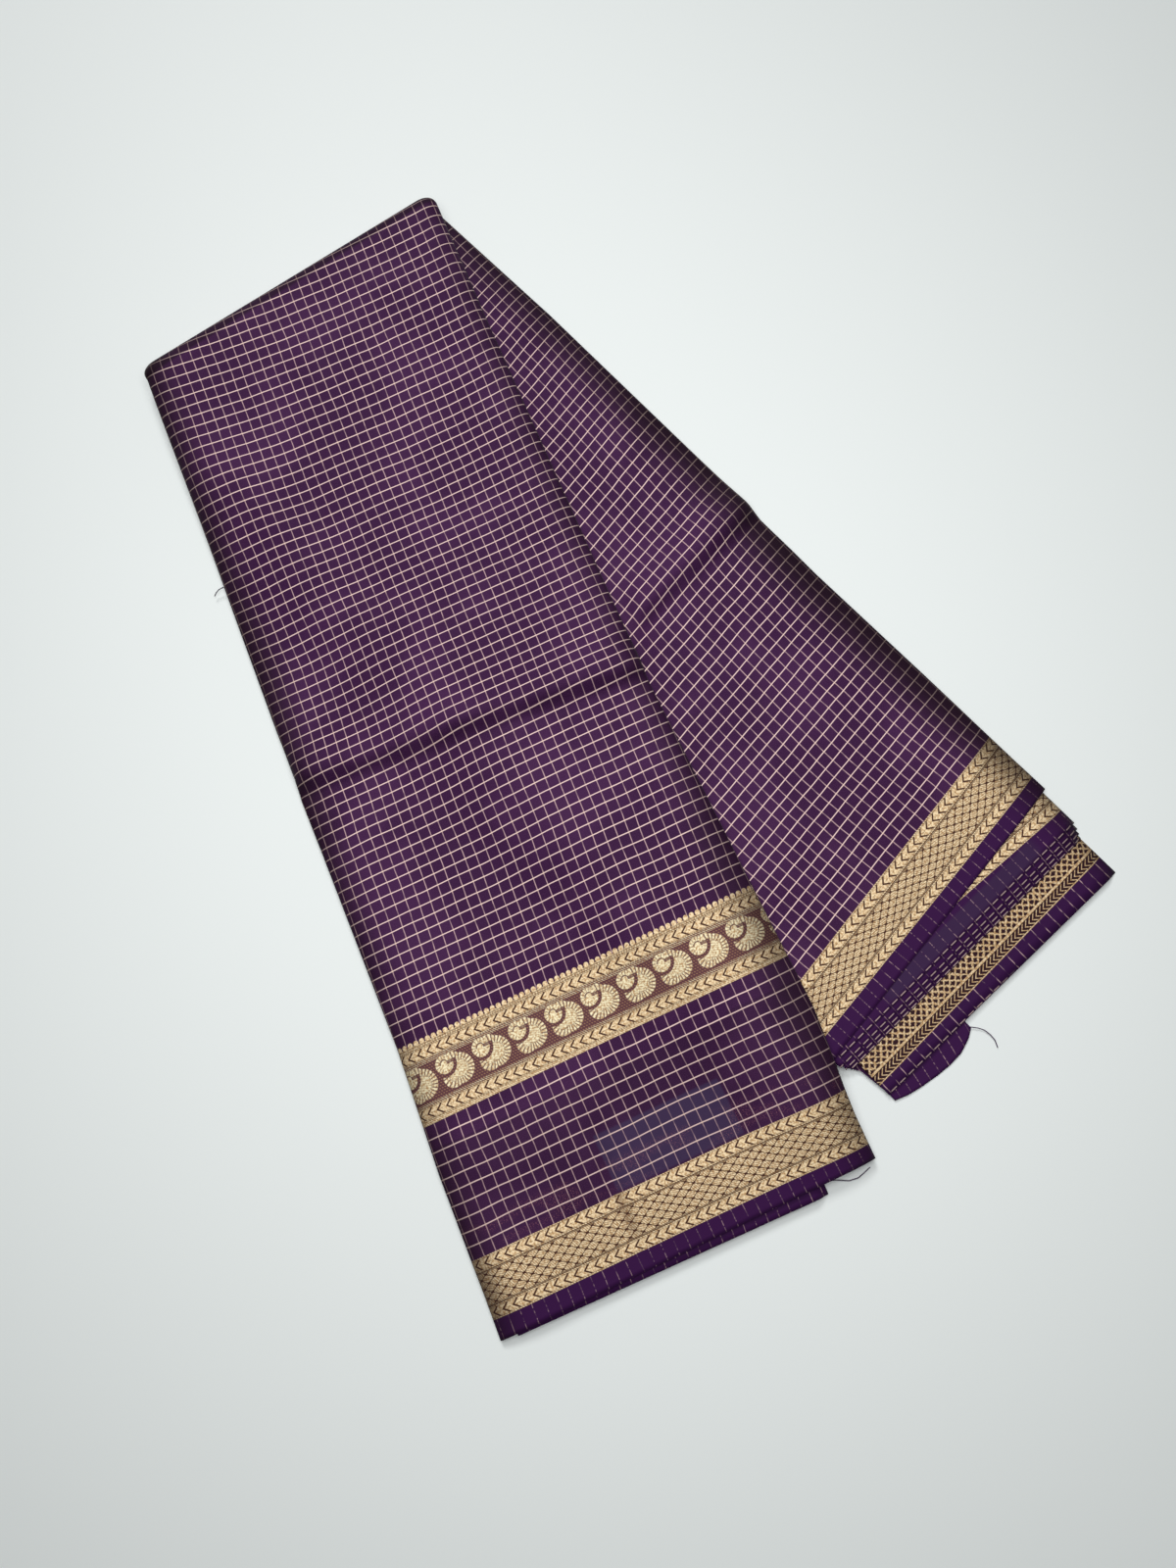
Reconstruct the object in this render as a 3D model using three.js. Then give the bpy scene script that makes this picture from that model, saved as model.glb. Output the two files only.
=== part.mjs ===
// A checked saree, folded lengthwise into a long band and then folded over slantwise at mid-width,
// lying flat. Millimetres, +Z up. The origin is on the floor below the middle of the folded saree.
import * as THREE from 'three';

// Driving sizes. One arm of the folded band is thirty-two layers of thin cloth pressed together.
const ARM_THICK = 9.5;
const CLOTH_WALL = 1.2;
const SEAM = 0.3;
const CORE_INSET = CLOTH_WALL + 0.6;

// Ground cloth, its shaded underside, the brighter selvedge and the gold thread borders.
const PURPLE = 0x3d2050;
const PURPLE_DARK = 0x2c143c;
const SELVEDGE_PURPLE = 0x4b1d68;
const ZARI_GOLD = 0xa98a5c;

// The slanted fold runs from its left end to its right end. Each arm has its own directions from there.
const FOLD_LEFT = new THREE.Vector2(-259.25, 203.95);
const FRONT_ANGLE = -67.2;
const BACK_ANGLE = -46.5;

// Each edge is rounded: deep across the top, tighter underneath. On the open edge the top stretch and
// the underside end at these turns, in radians, and the hidden layers show between them as steps.
const EDGE_ROUND_TOP = 9;
const EDGE_ROUND_UNDER = 5;
const MOUTH_TOP = 0.12;
const MOUTH_UNDER = -0.5;
const CORE_MOUTH = 0;
const LAYER_STEPS = 4;
const LAYER_DEPTH = 0.9;

// The front arm runs past the back arm's left edge a little, then comes down to the floor.
const DROP_START = 5;
const DROP_WIDTH = 50;

// The back arm thins out to nothing between these distances down it.
const BACK_HEM_START = 528;
const BACK_HEM_END = 592;

// Half of the fold's outer thickness, and the part of a section's height that turns over the fold.
const FOLD_RADIUS = ARM_THICK + SEAM / 2;
const FOLD_SECTION_FROM = 0.49;
const FOLD_SEAM_TURN = (SEAM / FOLD_RADIUS) * 2;

// Stations down the front arm, from the fold to the hem: how far down each edge they are, and how far
// across the edges lie there.
const FRONT_STATIONS = [
  { leftDown: 5.5, leftAcross: -2, rightDown: -30.2, rightAcross: 188.8 },
  { leftDown: 60, leftAcross: -3, rightDown: 46, rightAcross: 187.8 },
  { leftDown: 140, leftAcross: -5, rightDown: 140, rightAcross: 187.8 },
  { leftDown: 224, leftAcross: -6, rightDown: 236, rightAcross: 188 },
  { leftDown: 252, leftAcross: -5.6, rightDown: 268, rightAcross: 188.4 },
  { leftDown: 264, leftAcross: -6.8, rightDown: 279, rightAcross: 188 },
  { leftDown: 292, leftAcross: -6.3, rightDown: 306, rightAcross: 189.2 },
  { leftDown: 404.5, leftAcross: -5.8, rightDown: 399, rightAcross: 193.6 },
  { leftDown: 470, leftAcross: -8.5, rightDown: 466, rightAcross: 196.9 },
  { leftDown: 514, leftAcross: -8.6, rightDown: 509, rightAcross: 194.6 },
  { leftDown: 530, leftAcross: -8.6, rightDown: 522, rightAcross: 194.4 },
  { leftDown: 554, leftAcross: -9.2, rightDown: 545.5, rightAcross: 195.5 },
];
const FRONT_CREST = 4;
const FRONT_FOOT = 5;

// The same for the back arm, past the fold. Its right edge is the smooth one.
const BACK_STATIONS = [
  { leftDown: 130, leftAcross: 1, rightDown: 131, rightAcross: 189 },
  { leftDown: 250, leftAcross: 2.5, rightDown: 254, rightAcross: 188 },
  { leftDown: 297, leftAcross: 3, rightDown: 291, rightAcross: 188 },
  { leftDown: 309, leftAcross: 3, rightDown: 303, rightAcross: 187 },
  { leftDown: 350, leftAcross: 3.5, rightDown: 345, rightAcross: 186 },
  { leftDown: 430, leftAcross: 4.5, rightDown: 426, rightAcross: 186.6 },
  { leftDown: 500, leftAcross: 5, rightDown: 490, rightAcross: 186.6 },
  { leftDown: 532, leftAcross: 5.5, rightDown: 511, rightAcross: 187 },
];
const BACK_CREST = 2;
const BACK_FOOT = 3;

// The back arm's underside runs on past the last station to the bottom hem.
const UNDER_HEM = [
  { leftDown: 546, leftAcross: 14.5, rightDown: 543, rightAcross: 183.6 },
  { leftDown: 563, leftAcross: 16.5, rightDown: 563.5, rightAcross: 182.2 },
];

// The storage crease across each arm: cloth climbs to a crest, then falls steeply to its foot.
const CREASE_RISE = 3;
const CREASE_DIP = 1.2;
const CREASE_CLIMB = 26;
const CREASE_TAIL = 30;
const PANEL_WIDTH = 187;

// Long soft troughs (negative) and ridges pressed down the length of the front arm. They die out at
// the edges and at the fold, within these bands.
const WAVE_FALL = 1.4;
const FRONT_EASE = { left: -8, leftEnd: 16, right: 192, rightBand: 24, foldBand: 40 };
const BACK_EASE = { band: 20, right: 190 };
const UNCOVERED = { start: 2, end: 16 };
const FRONT_WAVES = [
  { height: -1.3, down: 150, across: 62, halfLength: 150, halfWidth: 20, slant: 0.1 },
  { height: 0.9, down: 180, across: 104, halfLength: 110, halfWidth: 17, slant: 0.04 },
  { height: -0.7, down: 120, across: 150, halfLength: 90, halfWidth: 18, slant: -0.05 },
  { height: -1.0, down: 350, across: 52, halfLength: 70, halfWidth: 24, slant: 0.12 },
  { height: 0.8, down: 360, across: 128, halfLength: 80, halfWidth: 26, slant: -0.08 },
  { height: 0.8, down: 478, across: 84, halfLength: 58, halfWidth: 7, slant: 0.32 },
  { height: -0.8, down: 470, across: 110, halfLength: 70, halfWidth: 22, slant: 0.3 },
];
const BACK_WAVES = [
  { height: -0.8, down: 210, across: 140, halfLength: 80, halfWidth: 18, slant: 0.02 },
  { height: 0.8, down: 390, across: 118, halfLength: 80, halfWidth: 24, slant: 0.05 },
  { height: -0.9, down: 430, across: 76, halfLength: 70, halfWidth: 22, slant: -0.05 },
];

// Leaves of the back arm that show past its top hem, from the top down. Down is where each hem lies.
// They start just past the hidden layers.
const BACK_LEAVES = [
  { name: 'back_leaf_2', height: 6.4, leftDown: 537, rightDown: 533, left: 12.5, right: 186 },
  { name: 'back_leaf_3', height: 4.95, leftDown: 541, rightDown: 539, left: 8.5, right: 184.6 },
  { name: 'back_leaf_4', height: 3.55, leftDown: 546, rightDown: 545, left: 5, right: 183 },
  { name: 'back_leaf_reverse', height: 1.85, leftDown: 558, rightDown: 565.5, left: 20, right: 182 },
];
const LEAF_START = { leftDown: 510.5, rightDown: 492.5, right: 181 };
const LEAF_SAG = 0.3;

// The bottom leaf's hem swings out past the others at its left, with a rounded end.
const BOTTOM_BULGE = { left: 18, right: 70, start: 563.8, leftDepth: 0.8, reach: 574.5, turn: 0.8 * Math.PI };
const BACK_LEAF_COLORS = { back_leaf_reverse: ZARI_GOLD };

// Leaves of the front arm under its top hem. The second one's hem shows past it.
const FRONT_LEAVES = [
  { name: 'front_leaf_2', height: 4.7, leftDown: 554.9, rightDown: 552.8, left: 0, right: 167 },
  { name: 'front_leaf_3', height: 2.2, leftDown: 551.5, rightDown: 543, left: 2, right: 189 },
];
const FRONT_LEAF_LENGTH = 22;

// How finely the cloth is divided.
const ACROSS_STEPS = 11;
const EDGE_STEPS = 4;
const FRONT_SPLIT = [2, 3, 3, 3, 2, 2, 4, 3, 2, 1, 2];
const BACK_SPLIT = [3, 4, 4, 2, 3, 3, 3, 2];
const FOLD_TURN_STEPS = 8;
const LEAF_ROWS = 3;
const LEAF_COLUMNS = 10;

// Surface of the cloth that shows and of the layers inside.
const CLOTH_ROUGHNESS = 0.75;
const LAYERS_ROUGHNESS = 0.85;

const saree = new THREE.Group();

const radians = (degrees) => (degrees * Math.PI) / 180;
const lerp = THREE.MathUtils.lerp;
const smooth = (value, low, high) => THREE.MathUtils.smoothstep(value, low, high);

// An arm's own frame: down runs from the fold to the hem, across from its left edge to its right edge.
function armFrame(angle) {
  const down = new THREE.Vector2(Math.cos(radians(angle)), Math.sin(radians(angle)));
  const across = new THREE.Vector2(-down.y, down.x);
  return {
    place: (a, d) => FOLD_LEFT.clone().addScaledVector(across, a).addScaledVector(down, d),
    measure: (point) => {
      const offset = point.clone().sub(FOLD_LEFT);
      return { across: offset.dot(across), down: offset.dot(down) };
    },
  };
}
const front = armFrame(FRONT_ANGLE);
const back = armFrame(BACK_ANGLE);

// Both arms start on the same line along the fold.
function foldStation() {
  const row = FRONT_STATIONS[0];
  const left = back.measure(front.place(row.leftAcross, row.leftDown));
  const right = back.measure(front.place(row.rightAcross, row.rightDown));
  return { leftDown: left.down, leftAcross: left.across, rightDown: right.down, rightAcross: right.across };
}

// Splits a table of stations into evenly stepped rows, with its crease stations kept as rows.
function splitStations(stations, split) {
  const rows = [];
  stations.slice(0, -1).forEach((row, index) => {
    const next = stations[index + 1];
    for (let step = 0; step < split[index]; step += 1) rows.push(mixRow(row, next, step / split[index]));
  });
  rows.push(stations.at(-1));
  return rows;
}
function mixRow(row, next, part) {
  const mixed = {};
  for (const key of Object.keys(row)) mixed[key] = lerp(row[key], next[key], part);
  return mixed;
}

// How high a crease lifts the cloth at a place, given as a part of the width and a distance down.
function creaseLift(stations, crest, foot, part, down) {
  const crestDown = lerp(stations[crest].leftDown, stations[crest].rightDown, part);
  const footDown = lerp(stations[foot].leftDown, stations[foot].rightDown, part);
  const climb = smooth(down, crestDown - CREASE_CLIMB, crestDown) * CREASE_RISE;
  const fall = smooth(down, crestDown, footDown) * (CREASE_RISE + CREASE_DIP);
  return climb - fall + smooth(down, footDown, footDown + CREASE_TAIL) * CREASE_DIP;
}
function waveLift(waves, across, down) {
  let lift = 0;
  for (const wave of waves) {
    const along = (down - wave.down) / wave.halfLength;
    const aside = (across - wave.across - wave.slant * (down - wave.down)) / wave.halfWidth;
    lift += wave.height * Math.exp(-WAVE_FALL * (along * along + aside * aside));
  }
  return lift;
}

// The right edge of the front arm, across at a distance down it, for what lies beside or below it.
function frontRightEdge(down) {
  const next = FRONT_STATIONS.findIndex((row) => row.rightDown > down);
  if (next <= 0) return FRONT_STATIONS[next === 0 ? 0 : FRONT_STATIONS.length - 1].rightAcross;
  const row = FRONT_STATIONS[next - 1];
  const far = FRONT_STATIONS[next];
  return lerp(row.rightAcross, far.rightAcross, (down - row.rightDown) / (far.rightDown - row.rightDown));
}

// Lift of the back arm's top face. It is pressed flat where the front arm lies on it.
function backLift(point) {
  const { across, down } = back.measure(point);
  const place = front.measure(point);
  const beside = place.across - frontRightEdge(place.down);
  const uncovered = smooth(beside, UNCOVERED.start, UNCOVERED.end);
  const edgeEase = smooth(across, 0, BACK_EASE.band) * smooth(BACK_EASE.right - across, 0, BACK_EASE.band);
  const crease = creaseLift(BACK_STATIONS, BACK_CREST, BACK_FOOT, across / PANEL_WIDTH, down);
  return uncovered * (crease + waveLift(BACK_WAVES, across, down) * edgeEase);
}
function frontLift(point) {
  const { across, down } = front.measure(point);
  const leftEase = smooth(across, FRONT_EASE.left, FRONT_EASE.leftEnd);
  const rightEase = smooth(FRONT_EASE.right - across, 0, FRONT_EASE.rightBand);
  const edgeEase = leftEase * rightEase * smooth(down, 0, FRONT_EASE.foldBand);
  const crease = creaseLift(FRONT_STATIONS, FRONT_CREST, FRONT_FOOT, across / PANEL_WIDTH, down);
  return crease + waveLift(FRONT_WAVES, across, down) * edgeEase;
}

// Height of what the front arm lies on: the back arm, its thinner hem end, or the floor.
function bedHeight(point) {
  const { across, down } = back.measure(point);
  const covered = smooth(across, -DROP_WIDTH - DROP_START, -DROP_START);
  const hemEnd = 1 - smooth(down, BACK_HEM_START, BACK_HEM_END);
  return covered * hemEnd * (ARM_THICK + SEAM);
}

// A section across an arm of the given width, inset from the cloth's outside. It runs from the open
// edge over the top, round the smooth edge at zero across and along the underside to the open edge
// again. Each entry is an across place, a height and a part.
function armSection(width, inset, mouthTop, mouthUnder) {
  const middle = ARM_THICK / 2;
  const points = [];
  const arc = (centre, reach, from, to, part, first = 0) => {
    for (let step = first; step <= EDGE_STEPS; step += 1) {
      const turn = lerp(from, to, step / EDGE_STEPS);
      points.push({
        across: centre + Math.cos(turn) * (reach - inset),
        height: middle + Math.sin(turn) * (middle - inset),
        part,
      });
    }
  };
  const line = (fromAcross, toAcross, height, part) => {
    for (let step = 1; step < ACROSS_STEPS; step += 1) {
      points.push({ across: lerp(fromAcross, toAcross, step / ACROSS_STEPS), height, part });
    }
  };
  arc(width - EDGE_ROUND_TOP, EDGE_ROUND_TOP, mouthTop, Math.PI / 2, 'top');
  line(width - EDGE_ROUND_TOP, EDGE_ROUND_TOP, ARM_THICK - inset, 'top');
  arc(EDGE_ROUND_TOP, EDGE_ROUND_TOP, Math.PI / 2, Math.PI, 'wrap');
  arc(EDGE_ROUND_UNDER, EDGE_ROUND_UNDER, Math.PI, Math.PI * 1.5, 'wrap', 1);
  line(EDGE_ROUND_UNDER, width - EDGE_ROUND_UNDER, inset, 'under');
  arc(width - EDGE_ROUND_UNDER, EDGE_ROUND_UNDER, -Math.PI / 2, mouthUnder, 'under');
  return points;
}

// Where a section's entry lies in space. On a mirrored arm the smooth edge is on the right. Lift raises
// the top face and fades out towards the underside.
function placeOnArm(arm, row, entry, width, mirrored, bed, lift) {
  const part = (mirrored ? width - entry.across : entry.across) / width;
  const down = lerp(row.leftDown, row.rightDown, part);
  const point = arm.place(lerp(row.leftAcross, row.rightAcross, part), down);
  const weight = (entry.height / ARM_THICK) ** 2;
  return new THREE.Vector3(point.x, point.y, bed(point) + entry.height + lift(point) * weight);
}

// Joins rings of equal length into a tube. Its two ends are closed by one of the functions below.
function ringBody(rings) {
  const size = rings[0].length;
  const positions = rings.flat();
  const index = [];
  for (let ring = 0; ring < rings.length - 1; ring += 1) {
    for (let side = 0; side < size; side += 1) {
      const a = ring * size + side;
      const b = ring * size + ((side + 1) % size);
      index.push(a, b, a + size, b, b + size, a + size);
    }
  }
  return { positions, index, size };
}

// Closes a ring body's two ends by joining the facing halves of each end ring, like the rungs of a ladder.
function ladderEnds({ positions, index, size }) {
  const lastRing = positions.length - size;
  for (let rung = 0; rung < size / 2 - 1; rung += 1) {
    const a = rung;
    const b = rung + 1;
    const c = size - 2 - rung;
    const d = size - 1 - rung;
    index.push(a, d, b, d, c, b);
    index.push(lastRing + a, lastRing + b, lastRing + d, lastRing + d, lastRing + b, lastRing + c);
  }
}

function addMesh(name, body, color, roughness) {
  const geometry = new THREE.BufferGeometry();
  const flat = body.positions.flatMap((point) => [point.x, point.y, point.z]);
  geometry.setAttribute('position', new THREE.Float32BufferAttribute(flat, 3));
  geometry.setIndex(outwardIndex(body));
  geometry.computeVertexNormals();
  const material = new THREE.MeshStandardMaterial({ color, roughness, metalness: 0 });
  const mesh = new THREE.Mesh(geometry, material);
  mesh.name = name;
  saree.add(mesh);
}

// Turns every face over where a body's volume comes out negative.
function outwardIndex({ positions, index }) {
  let volume = 0;
  for (let i = 0; i < index.length; i += 3) {
    const [a, b, c] = [positions[index[i]], positions[index[i + 1]], positions[index[i + 2]]];
    volume += a.dot(b.clone().cross(c));
  }
  if (volume > 0) return index;
  const turned = [];
  for (let i = 0; i < index.length; i += 3) turned.push(index[i], index[i + 2], index[i + 1]);
  return turned;
}

// A stretch of cloth: its outer line in each row, then its inner line back again, as one closed wall.
function clothWall(name, outerRows, innerRows, color) {
  const rings = outerRows.map((outer, row) => [...outer, ...innerRows[row].toReversed()]);
  const body = ringBody(rings);
  ladderEnds(body);
  addMesh(name, body, color, CLOTH_ROUGHNESS);
}

// Rows of points for one part of an arm's section, at an inset.
function armRows(arm, rows, mirrored, bed, lift, inset, keep) {
  return rows.map((row) => {
    const width = Math.hypot(row.rightAcross - row.leftAcross, row.rightDown - row.leftDown);
    return armSection(width, inset, MOUTH_TOP, MOUTH_UNDER)
      .filter((entry) => keep.includes(entry.part))
      .map((entry) => placeOnArm(arm, row, entry, width, mirrored, bed, lift));
  });
}

const floor = () => 0;
const frontRows = splitStations(FRONT_STATIONS, FRONT_SPLIT);
const backRows = splitStations([foldStation(), ...BACK_STATIONS], BACK_SPLIT);

// A wall from one part of an arm's section.
function armWall(name, arm, rows, mirrored, bed, lift, keep, color) {
  const outer = armRows(arm, rows, mirrored, bed, lift, 0, keep);
  const inner = armRows(arm, rows, mirrored, bed, lift, CLOTH_WALL, keep);
  clothWall(name, outer, inner, color);
}

// Front arm: its top stretch wraps the left edge and its underside lies on the back arm and the floor.
armWall('front_face', front, frontRows, false, bedHeight, frontLift, ['top', 'wrap'], PURPLE);
armWall('front_underside', front, frontRows, false, bedHeight, frontLift, ['under'], PURPLE_DARK);

// Back arm: the same cloth's other face is up. Its smooth edge is on the right.
armWall('back_face', back, backRows, true, floor, backLift, ['top', 'wrap'], PURPLE);

// The back arm's underside lies on the floor and runs on to the bottom hem.
const underRows = [...backRows, ...UNDER_HEM];
armWall('back_underside', back, underRows, true, floor, floor, ['under'], PURPLE_DARK);

// The hidden layers of an arm, as one rounded solid. Its open edge shows them as rounded steps.
function hiddenLayers(name, arm, rows, mirrored, bed, lift) {
  const rings = rows.map((row) => {
    const width = Math.hypot(row.rightAcross - row.leftAcross, row.rightDown - row.leftDown);
    return armSection(width, CORE_INSET, CORE_MOUTH, CORE_MOUTH).map((entry) => {
      const open = smooth(entry.across, width - EDGE_ROUND_TOP, width - CORE_INSET);
      const step = Math.abs(Math.cos((entry.height / ARM_THICK) * Math.PI * LAYER_STEPS));
      const shifted = { ...entry, across: entry.across - open * step * LAYER_DEPTH };
      return placeOnArm(arm, row, shifted, width, mirrored, bed, lift);
    });
  });
  const body = ringBody(rings.map((ring) => ring.slice(0, -1).toReversed()));
  rungEnds(body);
  addMesh(name, body, PURPLE_DARK, LAYERS_ROUGHNESS);
}

// Closes a full section's ends with rungs between its top and its underside, from edge to edge.
function rungEnds({ positions, index, size }) {
  const half = size / 2;
  for (const [start, turn] of [[0, 1], [positions.length - size, -1]]) {
    const face = (a, b, c) => index.push(...(turn > 0 ? [a, c, b] : [a, b, c]).map((side) => start + side));
    face(0, 1, size - 1);
    for (let rung = 1; rung < half - 1; rung += 1) {
      face(rung, rung + 1, size - rung);
      face(rung + 1, size - rung - 1, size - rung);
    }
    face(half - 1, half, half + 1);
  }
}

// Closes a ring body's ends with a fan round a middle point.
function closeWithFans({ positions, index, size }) {
  const last = positions.length - size;
  for (const [start, turn] of [[0, -1], [last, 1]]) {
    const middle = new THREE.Vector3();
    for (let side = 0; side < size; side += 1) middle.addScaledVector(positions[start + side], 1 / size);
    const centre = positions.push(middle) - 1;
    for (let side = 0; side < size; side += 1) {
      const a = start + side;
      const b = start + ((side + 1) % size);
      index.push(...(turn > 0 ? [a, b, centre] : [b, a, centre]));
    }
  }
}

// The hidden layers end at the last station before the hem. Past it their separate leaves show.
const frontCoreRows = frontRows.slice(0, -FRONT_SPLIT.at(-1));
const backCoreRows = backRows.slice(0, -BACK_SPLIT.at(-1));
hiddenLayers('front_layers', front, frontCoreRows, false, bedHeight, frontLift);
hiddenLayers('back_layers', back, backCoreRows, true, floor, backLift);

// The slanted fold: the top stretch turns over it, down to the floor and under the back arm.
function foldRows(section, inset) {
  const row = frontRows[0];
  const start = front.place(row.leftAcross, row.leftDown);
  const end = front.place(row.rightAcross, row.rightDown);
  const width = start.distanceTo(end);
  const outward = new THREE.Vector2(start.y - end.y, end.x - start.x).normalize();
  const rows = [];
  for (let step = 0; step <= FOLD_TURN_STEPS; step += 1) {
    const turn = lerp(FOLD_SEAM_TURN, Math.PI - FOLD_SEAM_TURN, step / FOLD_TURN_STEPS);
    rows.push(section(width, inset).map((entry) => {
      const radius = entry.height + SEAM / 2;
      const plan = start.clone().lerp(end, entry.across / width);
      plan.addScaledVector(outward, Math.sin(turn) * radius);
      return new THREE.Vector3(plan.x, plan.y, FOLD_RADIUS + Math.cos(turn) * radius);
    }));
  }
  return rows;
}

// The fold's own section: from the right mouth over the top to the middle of the left edge.
function foldSection(width, inset) {
  return armSection(width, inset, MOUTH_TOP, MOUTH_UNDER)
    .filter((entry) => entry.part !== 'under' && entry.height > ARM_THICK * FOLD_SECTION_FROM);
}
clothWall('fold_face', foldRows(foldSection, 0), foldRows(foldSection, CLOTH_WALL), PURPLE);

// The hidden layers inside the fold, as one half-round body whose straight side faces the arms.
function foldCore() {
  const outer = foldRows(foldSection, CORE_INSET);
  const columns = outer[0].length;
  const rings = [];
  for (let column = 0; column < columns; column += 1) rings.push(outer.map((row) => row[column]));
  const body = ringBody(rings);
  closeWithFans(body);
  addMesh('fold_layers', body, PURPLE_DARK, LAYERS_ROUGHNESS);
}
foldCore();

// A leaf is one layer of cloth that shows past the hem above it. It sags a little towards its own hem.
function leaf(name, arm, corners, base, bed, color) {
  const lower = [];
  const upper = [];
  for (let row = 0; row <= LEAF_ROWS; row += 1) {
    const far = row / LEAF_ROWS;
    const line = [];
    const top = [];
    const right = lerp(corners.startRight, corners.right, far * far);
    for (let column = 0; column <= LEAF_COLUMNS; column += 1) {
      const part = column / LEAF_COLUMNS;
      const across = lerp(corners.left, right, part);
      const down = lerp(corners.start(part), corners.hem(part), far);
      const plan = arm.place(across, down);
      const z = bed(plan) + base - far * far * corners.sag;
      line.push(new THREE.Vector3(plan.x, plan.y, z));
      top.push(new THREE.Vector3(plan.x, plan.y, z + CLOTH_WALL));
    }
    lower.push(line);
    upper.push(top);
  }
  clothWall(name, upper, lower, color);
}

for (const item of BACK_LEAVES) {
  const corners = {
    left: item.left,
    right: item.right,
    startRight: LEAF_START.right,
    start: (part) => lerp(LEAF_START.leftDown, LEAF_START.rightDown, part),
    hem: (part) => lerp(item.leftDown, item.rightDown, part),
    sag: LEAF_SAG,
  };
  leaf(item.name, back, corners, item.height, floor, BACK_LEAF_COLORS[item.name] ?? SELVEDGE_PURPLE);
}

const bulge = {
  left: BOTTOM_BULGE.left,
  right: BOTTOM_BULGE.right,
  startRight: BOTTOM_BULGE.right,
  start: () => BOTTOM_BULGE.start,
  hem: (part) => lerp(
    BOTTOM_BULGE.start + BOTTOM_BULGE.leftDepth,
    BOTTOM_BULGE.reach,
    Math.sin(part * BOTTOM_BULGE.turn),
  ),
  sag: 0,
};
leaf('back_leaf_bottom', back, bulge, 0, floor, SELVEDGE_PURPLE);

const frontHem = FRONT_STATIONS.at(-1);
for (const item of FRONT_LEAVES) {
  const corners = {
    left: item.left,
    right: item.right,
    startRight: item.right,
    start: (part) => lerp(frontHem.leftDown, frontHem.rightDown, part) - FRONT_LEAF_LENGTH,
    hem: (part) => lerp(item.leftDown, item.rightDown, part),
    sag: 0,
  };
  leaf(item.name, front, corners, item.height, bedHeight, SELVEDGE_PURPLE);
}

export default saree;
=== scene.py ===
import math

import bpy
import numpy as np
from mathutils import Matrix


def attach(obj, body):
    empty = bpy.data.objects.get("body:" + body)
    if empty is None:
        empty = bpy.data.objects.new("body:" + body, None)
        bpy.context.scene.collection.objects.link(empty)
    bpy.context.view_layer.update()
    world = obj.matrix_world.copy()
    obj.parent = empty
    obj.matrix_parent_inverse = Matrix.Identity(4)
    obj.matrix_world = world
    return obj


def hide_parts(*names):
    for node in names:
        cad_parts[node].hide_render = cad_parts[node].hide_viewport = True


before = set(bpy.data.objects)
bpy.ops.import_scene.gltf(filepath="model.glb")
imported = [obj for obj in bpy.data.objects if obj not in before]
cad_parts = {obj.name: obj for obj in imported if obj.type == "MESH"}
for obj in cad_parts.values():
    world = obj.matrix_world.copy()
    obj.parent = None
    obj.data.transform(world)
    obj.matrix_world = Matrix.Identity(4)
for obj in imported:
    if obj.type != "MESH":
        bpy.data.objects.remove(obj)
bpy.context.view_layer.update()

# Front arm, top stretch, with the slanted fold. One length of thin checked cloth lies over the hidden
# layers, wraps round the smooth left edge and turns over the fold down to the surface. Its selvedge end
# carries a gold thread border and, further in, a paisley band. All of it is woven in; nothing is sewn.
MM = 0.001

# Across and down are places on an arm. Along is a place along the cloth, from its border's outer edge.
ARM_THICK = 9.5
CLOTH = 0.35
FOLD_LEFT = np.array([-259.25, 203.95])
EDGE_TOP = 9.0
EDGE_UNDER = 5.0
FOLD_GAP = 0.15
CHECK = 6.1
PANEL_WIDTH = 187
ROW_SPACING = 2.6

# The angles, in radians, where an arm's section stops at its open side.
MOUTH_TOP = 0.12
MOUTH_UNDER = -0.5

# The parts of an arm's section.
TOP = 0
WRAP = 1
UNDERSIDE = 2


def smooth(value, low, high):
    part = np.clip((value - low) / (high - low), 0.0, 1.0)
    return part * part * (3 - 2 * part)


def lerp(a, b, part):
    return a + (b - a) * part


class Arm:
    """One arm of the folded band: down runs from the fold to the hem, across from left to right."""

    def __init__(self, angle):
        turn = math.radians(angle)
        self.down = np.array([math.cos(turn), math.sin(turn)])
        self.across = np.array([-self.down[1], self.down[0]])

    def place(self, across, down):
        return FOLD_LEFT + np.multiply.outer(across, self.across) + np.multiply.outer(down, self.down)

    def measure(self, plan):
        offset = plan - FOLD_LEFT
        return offset @ self.across, offset @ self.down


front = Arm(-67.2)
back = Arm(-46.5)

# Stations down the front arm: left edge down, left edge across, right edge down, right edge across.
FRONT_STATIONS = np.array([
    (5.5, -2, -30.2, 188.8),
    (60, -3, 46, 187.8),
    (140, -5, 140, 187.8),
    (224, -6, 236, 188),
    (252, -5.6, 268, 188.4),
    (264, -6.8, 279, 188),
    (292, -6.3, 306, 189.2),
    (404.5, -5.8, 399, 193.6),
    (470, -8.5, 466, 196.9),
    (514, -8.6, 509, 194.6),
    (530, -8.6, 522, 194.4),
    (554, -9.2, 545.5, 195.5),
])

# The crease lies between two of the stations, counted from 0: its crest and its foot.
FRONT_CREST = 4
FRONT_FOOT = 5
CREASE = {"rise": 5.0, "dip": 2.8, "climb": 24, "tail": 26, "brow": 0.5}

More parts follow.
